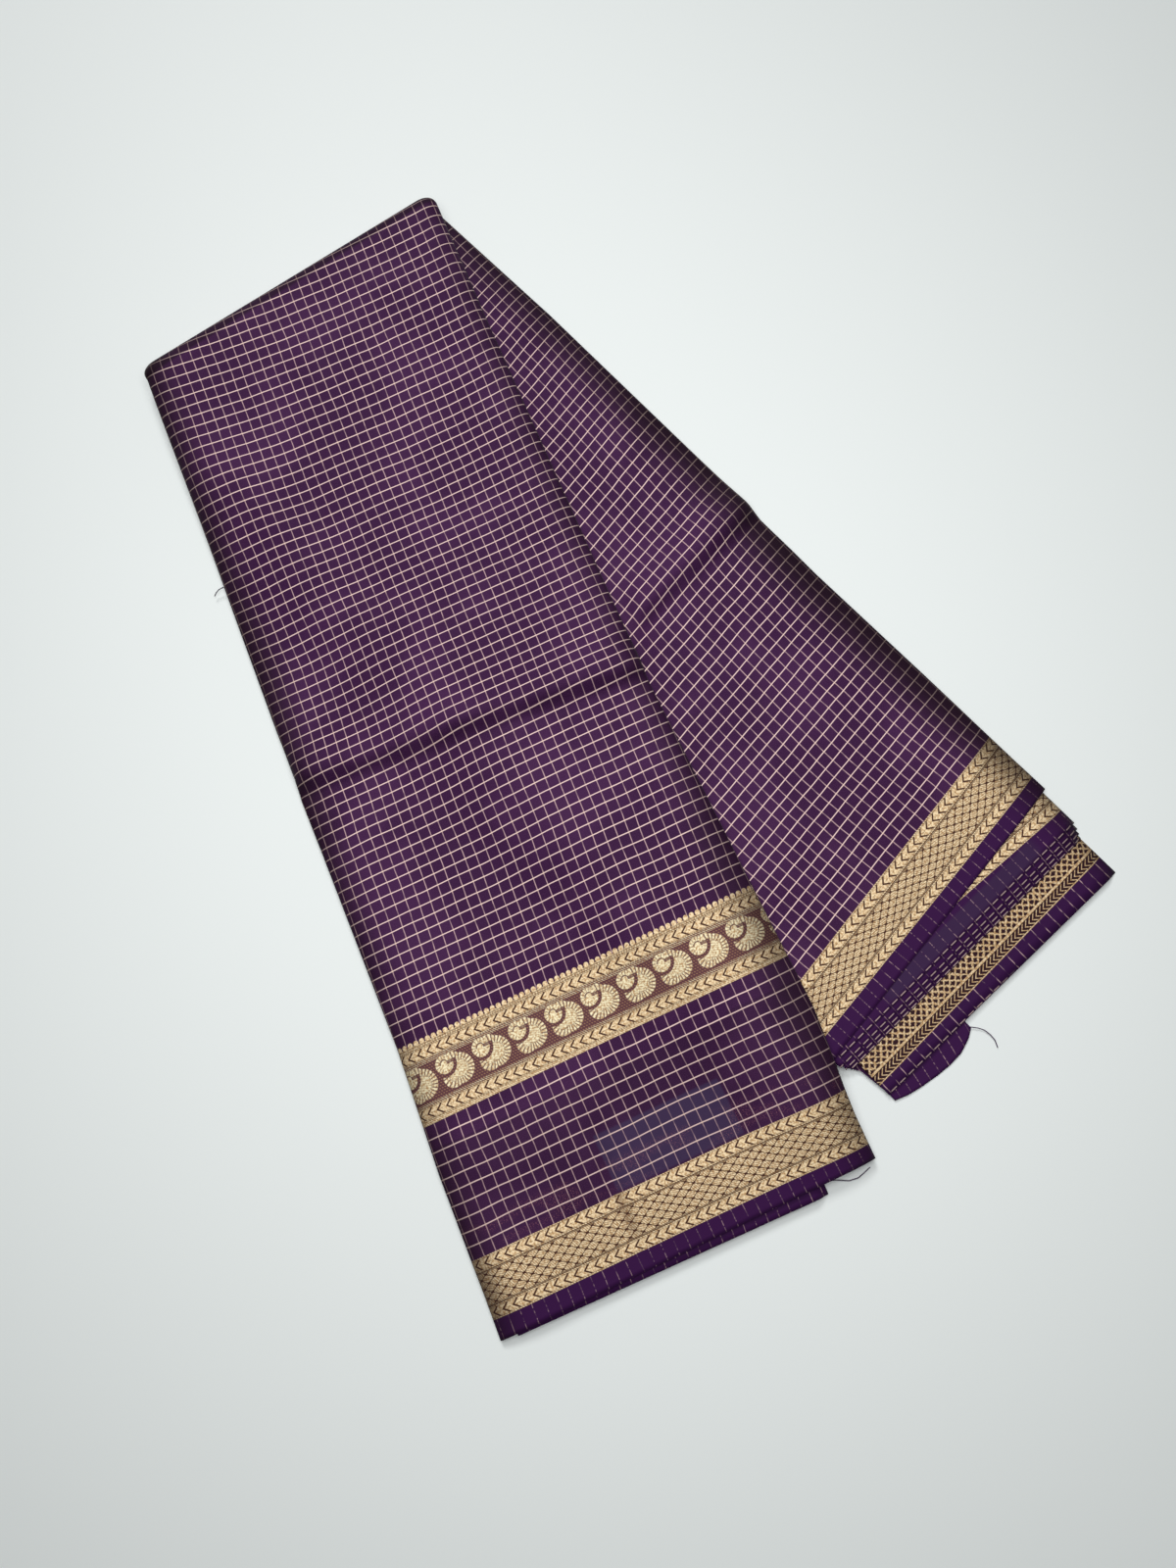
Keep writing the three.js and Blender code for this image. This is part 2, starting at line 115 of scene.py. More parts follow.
# Soft troughs and ridges: height, down, across, half length, half width, slant.
FRONT_WAVES = [
    (-1.3, 150, 62, 150, 20, 0.1),
    (0.9, 180, 104, 110, 17, 0.04),
    (-0.7, 120, 150, 90, 18, -0.05),
    (-1.0, 350, 52, 70, 24, 0.12),
    (0.8, 360, 128, 80, 26, -0.08),
    (0.8, 478, 84, 58, 7, 0.32),
    (-0.8, 470, 110, 70, 22, 0.3),
    (-2.6, 510, 70, 34, 4.0, 0.0),
    (-1.8, 506, 20, 26, 20, 0.1),
]

# Cloth rows against the distance down the left edge: down, cloth from the border's outer edge, and how
# much less of it there is at the right edge.
FRONT_ROWS = np.array([
    (-80, 611, 0),
    (-35, 568, 0),
    (40, 498, 0.8),
    (100, 441.5, 1.7),
    (150, 393, 4),
    (213, 331, 6.5),
    (252, 291.4, 8),
    (264, 278.8, 8.2),
    (300, 243.7, 8.6),
    (340, 204, 7.6),
    (370, 174.3, 6.4),
    (404.5, 140, 5.9),
    (445.8, 99, 7.8),
    (514, 30, 5.2),
    (543.7, 0, 6.4),
    (556, -12.3, 6.6),
])

# How far the rows bow at mid-width, and where down the arm that ends: height, start, end.
FRONT_BOW = (5.0, 120, 250)

# Cloth columns: down, check width scale, sideways drift of the columns.
FRONT_COLUMNS = np.array([
    (-80, 1.037, -1.5),
    (0, 1.037, 0),
    (60, 1.037, 1.3),
    (100, 1.038, 2.0),
    (200, 1.04, 2.2),
    (260, 1.02, 3.2),
    (300, 1.012, 3.9),
    (340, 1.01, 4.9),
    (380, 1.01, 6.6),
    (420, 1.008, 7.8),
    (457, 1.0, 7.4),
    (556, 0.96, 3.0),
])


def split(stations, spacing):
    rows = []
    for row, following in zip(stations[:-1], stations[1:]):
        steps = max(1, math.ceil(np.abs(following - row).max() / spacing))
        rows += [lerp(row, following, step / steps) for step in range(steps)]
    return np.array(rows + [stations[-1]])


def crease_lift(stations, crest, foot, part, down):
    crest_down = lerp(stations[crest][0], stations[crest][2], part)
    foot_down = lerp(stations[foot][0], stations[foot][2], part)
    climb = smooth(down, crest_down - CREASE["climb"], crest_down) * CREASE["rise"]
    fall = smooth(down, crest_down + CREASE["brow"], foot_down) * (CREASE["rise"] + CREASE["dip"])
    return climb - fall + smooth(down, foot_down, foot_down + CREASE["tail"]) * CREASE["dip"]


WAVE_FALLOFF = 1.4


def wave_lift(waves, across, down):
    lift = 0
    for height, at_down, at_across, half_length, half_width, slant in waves:
        along = (down - at_down) / half_length
        aside = (across - at_across - slant * (down - at_down)) / half_width
        lift = lift + height * np.exp(-WAVE_FALLOFF * (along**2 + aside**2))
    return lift


# Where the front arm climbs on to the back arm: across the back arm, and down it at its hem.
BED_BAND = (-55, -5)
BED_HEM = (528, 592)
BED_CLEARANCE = 0.3

# How much the arm is pressed flatter towards its hem: part, start, end.
FRONT_HEM_SQUEEZE = (0.3, 520, 556)

# Where the waves fade in and out, and where the edges' shoulders round off.
LEFT_EASE = (-8, 16)
RIGHT_EASE = (168, 192)
FOLD_EASE = (0, 40)
LEFT_SHOULDER = (-8, 14)
RIGHT_SHOULDER = (180, 194)
RIGHT_PART = 0.6
SHOULDER = 1.6


def front_bed(plan):
    across, down = back.measure(plan)
    covered = smooth(across, *BED_BAND) * (1 - smooth(down, *BED_HEM))
    return covered * (ARM_THICK + BED_CLEARANCE)


def front_lift(plan):
    """How far the crease and the soft waves lift the top stretch."""
    across, down = front.measure(plan)
    ease = smooth(across, *LEFT_EASE) * (1 - smooth(across, *RIGHT_EASE)) * smooth(down, *FOLD_EASE)
    crease = crease_lift(FRONT_STATIONS, FRONT_CREST, FRONT_FOOT, across / PANEL_WIDTH, down)
    shoulder = 1 - smooth(across, *LEFT_SHOULDER) + smooth(across, *RIGHT_SHOULDER) * RIGHT_PART
    return crease + wave_lift(FRONT_WAVES, across, down) * ease - shoulder * SHOULDER


def squeeze_at(down, hem_squeeze):
    amount, start, end = hem_squeeze
    return 1 - amount * smooth(down, start, end)


def front_squeeze(down):
    return squeeze_at(down, FRONT_HEM_SQUEEZE)


MIDDLE_ACROSS = 95


def cloth_place(across, down, part, columns, rows):
    """Cloth coordinates of a place on an arm, from the arm's tables of columns and rows."""
    column = np.interp(down, columns[:, 0], columns[:, 1])
    drift = np.interp(down, columns[:, 0], columns[:, 2])
    row = np.interp(down, rows[:, 0], rows[:, 1])
    slant = np.interp(down, rows[:, 0], rows[:, 2])
    return (across - MIDDLE_ACROSS) * column + drift + MIDDLE_ACROSS, row - slant * part


def front_cloth(across, down, part):
    place_across, place_along = cloth_place(across, down, part, FRONT_COLUMNS, FRONT_ROWS)
    bow, start, end = FRONT_BOW
    return place_across, place_along + bow * (1 - smooth(down, start, end)) * 4 * part * (1 - part)


def section(width, across_steps, edge_steps, mouth_top, mouth_under):
    """Across, height, unrolled across and part of the points round an arm's section."""
    middle = ARM_THICK / 2
    points = []

    def arc(centre, reach, start, end, part, first=0):
        for step in range(first, edge_steps + 1):
            turn = lerp(start, end, step / edge_steps)
            points.append((centre + math.cos(turn) * reach, middle + math.sin(turn) * middle, part))

    def line(start, end, height, part):
        for step in range(1, across_steps):
            points.append((lerp(start, end, step / across_steps), height, part))

    arc(width - EDGE_TOP, EDGE_TOP, mouth_top, math.pi / 2, TOP)
    line(width - EDGE_TOP, EDGE_TOP, ARM_THICK, TOP)
    arc(EDGE_TOP, EDGE_TOP, math.pi / 2, math.pi, WRAP)
    arc(EDGE_UNDER, EDGE_UNDER, math.pi, math.pi * 1.5, WRAP, 1)
    line(EDGE_UNDER, width - EDGE_UNDER, 0, UNDERSIDE)
    arc(width - EDGE_UNDER, EDGE_UNDER, -math.pi / 2, mouth_under, UNDERSIDE)
    table = np.array(points)
    steps = np.hypot(np.diff(table[:, 0]), np.diff(table[:, 1]))
    unrolled = np.concatenate([[0], np.cumsum(steps)])
    on_top = np.flatnonzero(table[:, 2] == TOP)
    flat = on_top[np.argmin(np.abs(table[on_top, 0] - width / 2))]
    unrolled = table[flat, 0] + unrolled[flat] - unrolled
    return np.column_stack([table[:, 0], table[:, 1], unrolled, table[:, 2]])


ACROSS_STEPS = 64
EDGE_STEPS = 9


def arm_grid(arm, rows, mirrored, bed, lift, squeeze, cloth, parts):
    """Points and cloth coordinates of some parts of an arm's section, row by row."""
    points, coords = [], []
    for row in rows:
        width = math.hypot(row[3] - row[1], row[2] - row[0])
        ring = section(width, ACROSS_STEPS, EDGE_STEPS, MOUTH_TOP, MOUTH_UNDER)
        ring = ring[np.isin(ring[:, 3], parts)]
        part = (width - ring[:, 0] if mirrored else ring[:, 0]) / width
        rolled = (width - ring[:, 2] if mirrored else ring[:, 2]) / width
        down = lerp(row[0], row[2], part)
        plan = arm.place(lerp(row[1], row[3], part), down)
        weight = (ring[:, 1] / ARM_THICK) ** 2
        height = bed(plan) + ring[:, 1] * squeeze(down) + lift(plan) * weight
        points.append(np.column_stack([plan, height]))
        flat_across = lerp(row[1], row[3], rolled)
        flat_down = lerp(row[0], row[2], rolled)
        coords.append(np.column_stack(cloth(flat_across, flat_down, rolled)))
    order = -1 if mirrored else 1
    return np.array(points)[:, ::order], np.array(coords)[:, ::order]


def fold_grid(across_steps, edge_steps, turns):
    """The rows that turn over the slanted fold, from the floor up to the front arm's first row."""
    row = FRONT_STATIONS[0]
    start, end = front.place(row[1], row[0]), front.place(row[3], row[2])
    width = math.dist(start, end)
    outward = np.array([start[1] - end[1], end[0] - start[0]]) / width
    ring = section(width, across_steps, edge_steps, MOUTH_TOP, MOUTH_UNDER)
    ring = ring[np.isin(ring[:, 3], (TOP, WRAP))]
    radius = ring[:, 1] + FOLD_GAP
    outer = ARM_THICK + FOLD_GAP
    points, coords = [], []
    for step in range(turns, 0, -1):
        turn = math.pi * step / turns
        plan = start + np.multiply.outer(ring[:, 0] / width, end - start)
        plan = plan + np.multiply.outer(math.sin(turn) * radius, outward)
        points.append(np.column_stack([plan, outer + math.cos(turn) * radius]))
        flat = start + np.multiply.outer(ring[:, 2] / width, end - start) + outward * outer * turn
        across, down = front.measure(flat)
        coords.append(np.column_stack(front_cloth(across, down, ring[:, 2] / width)))
    return np.array(points), np.array(coords)


def sheet_object(name, pieces, material, band=None):
    """A thin shell of cloth over one or more grids of points, with its cloth coordinates as a UV map.

    band is a second material and the part along the cloth that has it.
    """
    vertices, faces, coords = [], [], []
    for points, cloth in pieces:
        rows, columns = points.shape[:2]
        base = len(vertices)
        vertices += (points.reshape(-1, 3) * MM).tolist()
        coords += cloth.reshape(-1, 2).tolist()
        for row in range(rows - 1):
            for column in range(columns - 1):
                a = base + row * columns + column
                faces.append((a, a + 1, a + columns + 1, a + columns))
    mesh = bpy.data.meshes.new(name)
    mesh.from_pydata(vertices, [], faces)
    layer = mesh.uv_layers.new(name="cloth")
    corners = np.array(coords)[np.array([loop.vertex_index for loop in mesh.loops])]
    layer.data.foreach_set("uv", corners.astype(np.float32).ravel())
    mesh.polygons.foreach_set("use_smooth", [True] * len(mesh.polygons))
    mesh.materials.append(material)
    if band:
        band_material, low, high = band
        mesh.materials.append(band_material)
        middle = corners[:, 1].reshape(-1, 4).mean(axis=1)
        mesh.polygons.foreach_set("material_index", ((middle > low) & (middle < high)).astype(int))
    made = bpy.data.objects.new(name, mesh)
    bpy.context.scene.collection.objects.link(made)
    shell = made.modifiers.new("cloth thickness", "SOLIDIFY")
    shell.thickness = CLOTH * MM
    shell.offset = -1
    return made


class Socket:
    """A shader value that plain arithmetic works on. Each operator adds one Math node."""

    def __init__(self, cloth, out):
        self.cloth, self.out = cloth, out

    def math(self, operation, *values):
        inputs = dict(enumerate((self, *values)))
        return self.cloth.node("ShaderNodeMath", {"operation": operation}, inputs)

    def __add__(self, other):
        return self.math("ADD", other)

    def __sub__(self, other):
        return self.math("SUBTRACT", other)

    def __rsub__(self, other):
        return (self * -1) + other

    def __mul__(self, other):
        return self.math("MULTIPLY", other)

    def __truediv__(self, other):
        return self.math("DIVIDE", other)

    def __mod__(self, other):
        return self.math("FLOORED_MODULO", other)

    def __pow__(self, other):
        return self.math("POWER", other)

    def __abs__(self):
        return self.math("ABSOLUTE")

    def __lt__(self, other):
        return self.math("LESS_THAN", other)

    def __gt__(self, other):
        return self.math("GREATER_THAN", other)

    __radd__ = __add__
    __rmul__ = __mul__

    def floor(self):
        return self.math("FLOOR")

    def least(self, other):
        return self.math("MINIMUM", other)

    def most(self, other):
        return self.math("MAXIMUM", other)

    def rise(self, low, high):
        """Zero below low, one above high, smooth between."""
        return self.cloth.node("ShaderNodeMapRange", {"interpolation_type": "SMOOTHSTEP"}, {
            "Value": self, "From Min": low, "From Max": high,
        })


def colour(red, green, blue):
    """A colour given as it looks on a screen, from 0 to 255, in scene values."""
    return tuple((value / 255) ** 2.2 for value in (red, green, blue))


RELIEF = 0.16
SHEEN = 0.04
SHEEN_ROUGHNESS = 0.4
SPECULAR = 0.12


class Cloth:
    """A cloth material under construction, with its place across and along the cloth in millimetres."""

    def __init__(self, name):
        self.material = bpy.data.materials.new(name)
        self.material.use_nodes = True
        self.tree = self.material.node_tree
        self.surface = self.tree.nodes["Principled BSDF"]
        place = self.node("ShaderNodeUVMap", {"uv_map": "cloth"}, {})
        self.across = self.node("ShaderNodeSeparateXYZ", {}, {0: place})
        self.along = Socket(self, self.across.out.node.outputs[1])

    def node(self, kind, settings, inputs, output=0):
        """Every node comes from here: its settings first, then the values or links of its sockets."""
        made = self.tree.nodes.new(kind)
        for key, value in settings.items():
            setattr(made, key, value)
        for key, value in inputs.items():
            self.feed(made.inputs[key], value)
        return Socket(self, made.outputs[output])

    def feed(self, entry, value):
        if isinstance(value, Socket):
            self.tree.links.new(value.out, entry)
        elif hasattr(value, "__len__") and len(value) == 3 and len(entry.default_value) == 4:
            entry.default_value = (*value, 1.0)
        else:
            entry.default_value = value

    def mix(self, part, first, second):
        """Part of the way from one colour to another. The Mix node's colour sockets are 6, 7 and 2."""
        return self.node("ShaderNodeMix", {"data_type": "RGBA"}, {0: part, 6: first, 7: second}, 2)

    def noise(self, across_scale, along_scale, detail=2.0, shift=0.0):
        """Noise from 0 to 1 with its own scale each way, per millimetre."""
        spot = self.node("ShaderNodeCombineXYZ", {}, {
            0: self.across * across_scale + shift,
            1: self.along * along_scale,
        })
        return self.node("ShaderNodeTexNoise", {"noise_dimensions": "2D"}, {
            "Vector": spot, "Scale": 1.0, "Detail": detail,
        })

    def line(self, value, period, width, soft=0.22):
        """One on evenly spaced threads: where value is near a whole number of periods."""
        off = abs((value / period + 0.5) % 1.0 - 0.5) * period
        return 1 - off.rise(max(width / 2 - soft, 0.0), width / 2 + soft)

    def between(self, value, low, high, soft=0.15):
        return value.rise(low - soft, low + soft) * (1 - value.rise(high - soft, high + soft))

    def finish(self, base, roughness, height=None):
        self.feed(self.surface.inputs["Base Color"], base)
        self.feed(self.surface.inputs["Roughness"], roughness)
        self.surface.inputs["Sheen Weight"].default_value = SHEEN
        self.surface.inputs["Sheen Roughness"].default_value = SHEEN_ROUGHNESS
        self.surface.inputs["Specular IOR Level"].default_value = SPECULAR
        if height is not None:
            raised = self.node("ShaderNodeBump", {}, {
                "Strength": 1.0, "Distance": RELIEF * MM, "Height": height,
            })
            self.feed(self.surface.inputs["Normal"], raised)
        return self.material


GROUND = colour(52, 22, 56)
GROUND_LIGHT = colour(80, 45, 84)
SELVEDGE = colour(57, 24, 68)
CROSS_THREAD = colour(245, 212, 205)
LONG_THREAD = colour(208, 172, 174)
KNOT = colour(240, 214, 176)
GOLD = colour(253, 228, 186)
GOLD_BRIGHT = colour(255, 243, 202)
GOLD_DEEP = colour(186, 146, 100)
BROWN = colour(72, 44, 36)
MAUVE = colour(94, 60, 66)
SHOWN_THROUGH = colour(72, 64, 96)
FLECK = colour(158, 100, 112)
PAINTED_SHADE_BROWN = colour(24, 10, 14)

LONG_THREAD_WIDTH = 0.5
CROSS_THREAD_WIDTH = 0.52
THREAD_SOFT = 0.1
FIRST_ROW = (31, 34)


def ground_cloth(cloth, rows, row_mask):
    """Purple ground with its check threads. rows is the along value that the cross threads repeat in."""
    weave = cloth.noise(2.2, 2.2, 3.0)
    cloudy = cloth.noise(0.02, 0.02, 2.0, 7.0)
    base = cloth.mix(weave.rise(0.3, 0.75) * 0.5 + cloudy.rise(0.4, 0.7) * 0.3, GROUND, GROUND_LIGHT)
    uneven = cloth.noise(0.9, 0.2, 2.0, 3.0)
    wander = (cloth.noise(0.02, 0.035, 2.0, 11.0) - 0.5) * 1.4
    sway = (cloth.noise(0.03, 0.02, 2.0, 23.0) - 0.5) * 1.2
    long_thread = cloth.line(cloth.across + wander, CHECK, LONG_THREAD_WIDTH, THREAD_SOFT)
    long_thread = long_thread * (0.45 + uneven.rise(0.3, 0.6) * 0.55)
    cross_thread = cloth.line(rows + sway, CHECK, CROSS_THREAD_WIDTH, THREAD_SOFT) * row_mask
    base = cloth.mix(long_thread * 0.8, base, LONG_THREAD)
    base = cloth.mix(cross_thread * 0.95, base, CROSS_THREAD)
    return cloth.mix(long_thread * cross_thread * 0.8, base, KNOT), long_thread, cross_thread


BRAID_PITCH = 5.3
HEAD_SLANT = 1.2
HEAD_REACH = (1.9, 2.2)
STRAND_REACH = (2.0, 2.5)
CORD_REACH = (2.55, 2.65)


def chevrons(cloth, off):
    """A braid row round off = 0: solid arrowheads with dark outlines and a cord each side."""
    arm = abs(off)
    phase = ((cloth.across - arm * HEAD_SLANT) / BRAID_PITCH) % 1.0
    head = cloth.between(phase, 0.1, 0.86, 0.05) * (1 - arm.rise(*HEAD_REACH))
    vein = cloth.line(off, 20.0, 0.3, 0.1) * cloth.between(phase, 0.3, 0.7, 0.05) * 0.5
    strands = cloth.between(phase, 0.06, 0.86, 0.06) * cloth.between(arm, *STRAND_REACH, 0.1)
    twist = cloth.line(cloth.across + off * 0.9, BRAID_PITCH / 4, 0.8, 0.12)
    cord = arm.rise(*CORD_REACH) * (0.4 + 0.6 * twist)
    return (head * (1 - vein)).most(strands * 0.85).most(cord)


BLOCK_ACROSS = 7.0
BLOCK_ALONG = 4.5


def blocks(cloth, off):
    """Interlaced rounded blocks on a staggered grid, hatched one way and the other in turn."""
    first = cloth.across / BLOCK_ACROSS + off / BLOCK_ALONG
    second = cloth.across / BLOCK_ACROSS - off / BLOCK_ALONG
    reach_first = abs(first % 1.0 - 0.5) * 2
    reach_second = abs(second % 1.0 - 0.5) * 2
    block = 1 - (reach_first**4.0 + reach_second**4.0).rise(0.48, 0.92)
    turned = ((first.floor() - second.floor()) % 2.0) > 0.5
    upright = cloth.line(cloth.across + off * 0.5, 1.1, 0.6, 0.12)
    level = cloth.line(off + cloth.across * 0.25, 1.05, 0.6, 0.12)
    strands = upright * turned + level * (1 - turned)
    return block * (0.5 + 0.5 * strands)


PAISLEY_PITCH = 20.3
PAISLEY_START = 16.0
PAISLEY_MIDDLE = 12.0
PAISLEY_TEETH = 26

# The discs that a drop is made of: across, along, radius.
DROP_BODY = (0.6, 0.5, 7.6)
DROP_TAIL = (-3.8, -2.2, 5.4)
DROP_BRIDGE = (-1.6, 5.4, 4.5)
HOOK_AT = (-6.2, 5.3)
HOOK_RADIUS = 4.7
HOOK_TEETH = 15


def paisley(cloth, off):
    """Hooked drops with comb teeth round the rim, one each pitch. off is from the drop's middle."""
    x = ((cloth.across - PAISLEY_START) % PAISLEY_PITCH) - PAISLEY_MIDDLE

    def disc(at_x, at_y, radius):
        return ((x - at_x) ** 2.0 + (off - at_y) ** 2.0) ** 0.5 - radius

    body = disc(*DROP_BODY).least(disc(*DROP_TAIL))
    bridge = disc(*DROP_BRIDGE)
    hook = disc(*HOOK_AT, HOOK_RADIUS)
    hook_x = x - HOOK_AT[0]
    hook_y = off - HOOK_AT[1]
    below = 1 - hook_y.rise(0.6, 1.6)
    notch = cloth.between(hook, 0.0, 1.9, 0.15) * below
    mouth = cloth.between(hook_y, -0.4, 1.2, 0.15) * cloth.between(hook_x, 1.4, HOOK_RADIUS + 1.4, 0.15)
    body_part = (1 - body.rise(-0.2, 0.2)).most((1 - bridge.rise(-0.2, 0.2)) * hook_y.rise(0.6, 1.2))
    inside = body_part * (1 - notch)
    around = (off - 0.2).math("ARCTAN2", x + 0.4)
    gaps = cloth.line(around, math.tau / PAISLEY_TEETH, 0.09, 0.02) * cloth.between(body, -3.0, 2.5, 0.15)
    ring = cloth.between(body, -3.5, -3.0, 0.12)
    hatch = cloth.line(off + x * 0.35, 1.2, 0.45, 0.15) * (1 - body.rise(-3.8, -3.5))
    drop = inside * (1 - gaps.most(ring * 0.6).most(hatch * 0.35) * 0.85)
    curl = cloth.between(hook, -2.9, -2.2, 0.12) * (hook_x * 0.4 + hook_y).rise(-1.2, -0.4)
    hook_around = hook_y.math("ARCTAN2", hook_x)
    hook_teeth = cloth.line(hook_around, math.tau / HOOK_TEETH, 0.11, 0.04)
    hook_teeth = hook_teeth * cloth.between(hook, -2.0, 0.4, 0.12)
    hooked = (1 - hook.rise(-0.2, 0.2)) * (1 - curl.most(hook_teeth * 0.8) * 0.9)
    return drop.most(hooked) * (1 - mouth * 0.85)


BORDER_END = 30
BRAID_WIDTH = 6.5
FIELD = (7.4, 22.6)
LOW_CORD = (6.9, 7.2)
HIGH_CORD = (22.8, 23.1)


def border_gold(cloth, along):
    """The border: a braid row each side of a field of interlaced blocks. Gives gold against brown."""
    outer = chevrons(cloth, along - BRAID_WIDTH / 2) * cloth.between(along, 0, BRAID_WIDTH)
    inner = chevrons(cloth, along - (BORDER_END - BRAID_WIDTH / 2))
    inner = inner * cloth.between(along, BORDER_END - BRAID_WIDTH, BORDER_END)
    field = blocks(cloth, along - BORDER_END / 2) * cloth.between(along, *FIELD)
    cords = cloth.between(along, *LOW_CORD, 0.1).most(cloth.between(along, *HIGH_CORD, 0.1)) * 0.5
    return outer.most(inner).most(field).most(cords)


# The rows of the paisley band, along the cloth.
BAND_START = 99
BAND_END = 140
LOW_LINES = (99, 101)
LOW_BRAID = (101.1, 107.3)
LOW_FRINGE = (107.5, 108.9)
DROPS = (108.4, 127.8)
DROPS_MIDDLE = 117.8
TOP_FRINGE = (127.4, 129.4)
TOP_BRAID = (129.5, 135.7)
TOP_LINES = (135.8, 137.8)
DOTS_AT = 136.4
BEADS_AT = 138.6
BEAD_PITCH = 3.3


def braid_row(cloth, along, row):
    return chevrons(cloth, along - (row[0] + row[1]) / 2) * cloth.between(along, *row)


def paisley_band_gold(cloth, along):
    speckle = cloth.line(cloth.across + along, 1.3, 0.7, 0.15)
    low_lines = cloth.between(along, *LOW_LINES) * (0.55 + 0.45 * speckle)
    drops = paisley(cloth, along - DROPS_MIDDLE) * cloth.between(along, *DROPS)
    fringes = cloth.between(along, *LOW_FRINGE, 0.3).most(cloth.between(along, *TOP_FRINGE, 0.3))
    dots = cloth.line(cloth.across, 1.4, 0.8, 0.15) * cloth.line(along - DOTS_AT, 1.2, 0.6, 0.15)
    top_lines = cloth.between(along, *TOP_LINES) * (0.4 + 0.6 * dots)
    bead_across = abs((cloth.across / BEAD_PITCH) % 1.0 - 0.5) * BEAD_PITCH
    beads = 1 - (bead_across**2.0 + (along - BEADS_AT) ** 2.0).rise(1.3, 2.3)
    gold = low_lines.most(braid_row(cloth, along, LOW_BRAID)).most(drops)
    gold = gold.most(fringes * speckle * 0.55).most(braid_row(cloth, along, TOP_BRAID))
    return gold.most(top_lines).most(beads)


# Where the painted shade at the edges starts and ends: left edge, then right edge.
FRONT_EDGES = (-9, 18, 174, 200)


def edge_shade(cloth, base, left, right, span):
    """Paints shade on the cloth where it turns round a panel's edges. left and right are how much."""
    near_left = 1 - cloth.across.rise(span[0], span[1])
    near_right = cloth.across.rise(span[2], span[3])
    return cloth.mix(near_left * left + near_right * right, base, cloth.mix(0.85, base, PAINTED_SHADE_BROWN))


LEAF_SPAN = (12, 184)
DASH_PART = (0.12, 0.72)
DASH_DEPTH = (0.4, 0.9)
DASH_STRENGTH = 0.75


def hem_line(cloth, hem_along):
    """Where a leaf's hem lies along the cloth, given at the leaf's left and right."""
    slope = (hem_along[1] - hem_along[0]) / (LEAF_SPAN[1] - LEAF_SPAN[0])
    return (cloth.across - LEAF_SPAN[0]) * slope + hem_along[0]


def hem_dashes(cloth, from_hem):
    """Pale threads that turn along the hem in short dashes, one each check."""
    dash = cloth.between((cloth.across / CHECK) % 1.0, *DASH_PART, 0.06)
    return cloth.between(from_hem, *DASH_DEPTH, 0.12) * dash * DASH_STRENGTH


def selvedge_cloth(cloth, base, long_thread, thread_part):
    """Past the border's outer edge the cloth is plain, with the long threads only as broken lines."""
    selvedge = 1 - cloth.along.rise(-0.4, 0.2)
    dashed = cloth.noise(0.3, 0.7, 2.0, 31.0).rise(0.35, 0.6)
    return cloth.mix(selvedge * (1 - long_thread * thread_part * dashed), base, SELVEDGE)


def finish_gold(cloth, base, gold, height):
    """The gold is smoother than the cloth and stands up from it."""
    height = cloth.noise(3.0, 3.0, 1.0, 2.0) * 0.25 + gold * 0.9 + height
    return cloth.finish(base, 0.72 - gold * 0.18, height)


def lay_gold(cloth, base, gold, bright):
    shade = cloth.noise(0.9, 0.9, 2.0, 5.0)
    return cloth.mix(gold, base, cloth.mix(shade.rise(0.25, 0.7), GOLD_DEEP, bright))


GAP_CHECK = 6.9
NO_ROWS = (96, 142)


def front_ground(cloth):
    along = cloth.along
    in_gap = cloth.between(along, BORDER_END, BAND_START)
    rows = (along - BAND_END) * (1 - in_gap) + (along - BORDER_END) * (CHECK / GAP_CHECK) * in_gap
    return ground_cloth(cloth, rows, along.rise(*FIRST_ROW) * (1 - cloth.between(along, *NO_ROWS)))


# The painted shade along the rim of the slanted fold: how much it leans, and where along the cloth it
# starts and ends.
RIM_SHADE_SLANT = 0.177
RIM_SHADE_START = (529.5, 532)
RIM_SHADE_END = (538, 544)


def finish_front(cloth, base, gold, threads, bright):
    """Lays the gold on the base and paints shade on the panel's edges and along the fold's rim."""
    base = lay_gold(cloth, base, gold, bright)
    base = edge_shade(cloth, base, 0.95, 0.75, FRONT_EDGES)
    # Painted shade along the rim of the slanted fold.
    part = cloth.across / PANEL_WIDTH
    from_fold = cloth.along - cloth.across * RIM_SHADE_SLANT - part * (1 - part) * 4 * FRONT_BOW[0]
    rim = from_fold.rise(*RIM_SHADE_START) * (1 - from_fold.rise(*RIM_SHADE_END))
    base = cloth.mix(rim * 0.6, base, PAINTED_SHADE_BROWN)
    return finish_gold(cloth, base, gold, threads * 0.5)


# Marks on the front near its border: the pale patch that shows through from below and the flecks of gold;
# then painted shade over the gap, on the crease in the border and on the border's rolled left end.
PATCH_ACROSS = (77, 144.5)
PATCH_ALONG = (31, 60)
FLECKED = (32, 46)
SHADED_GAP = (28, 98)
CREASE_SHADE_ACROSS = (74, 79)
CREASE_SHADE_ALONG = (8, 34)
LEFT_END_SHADE = (0, 12)


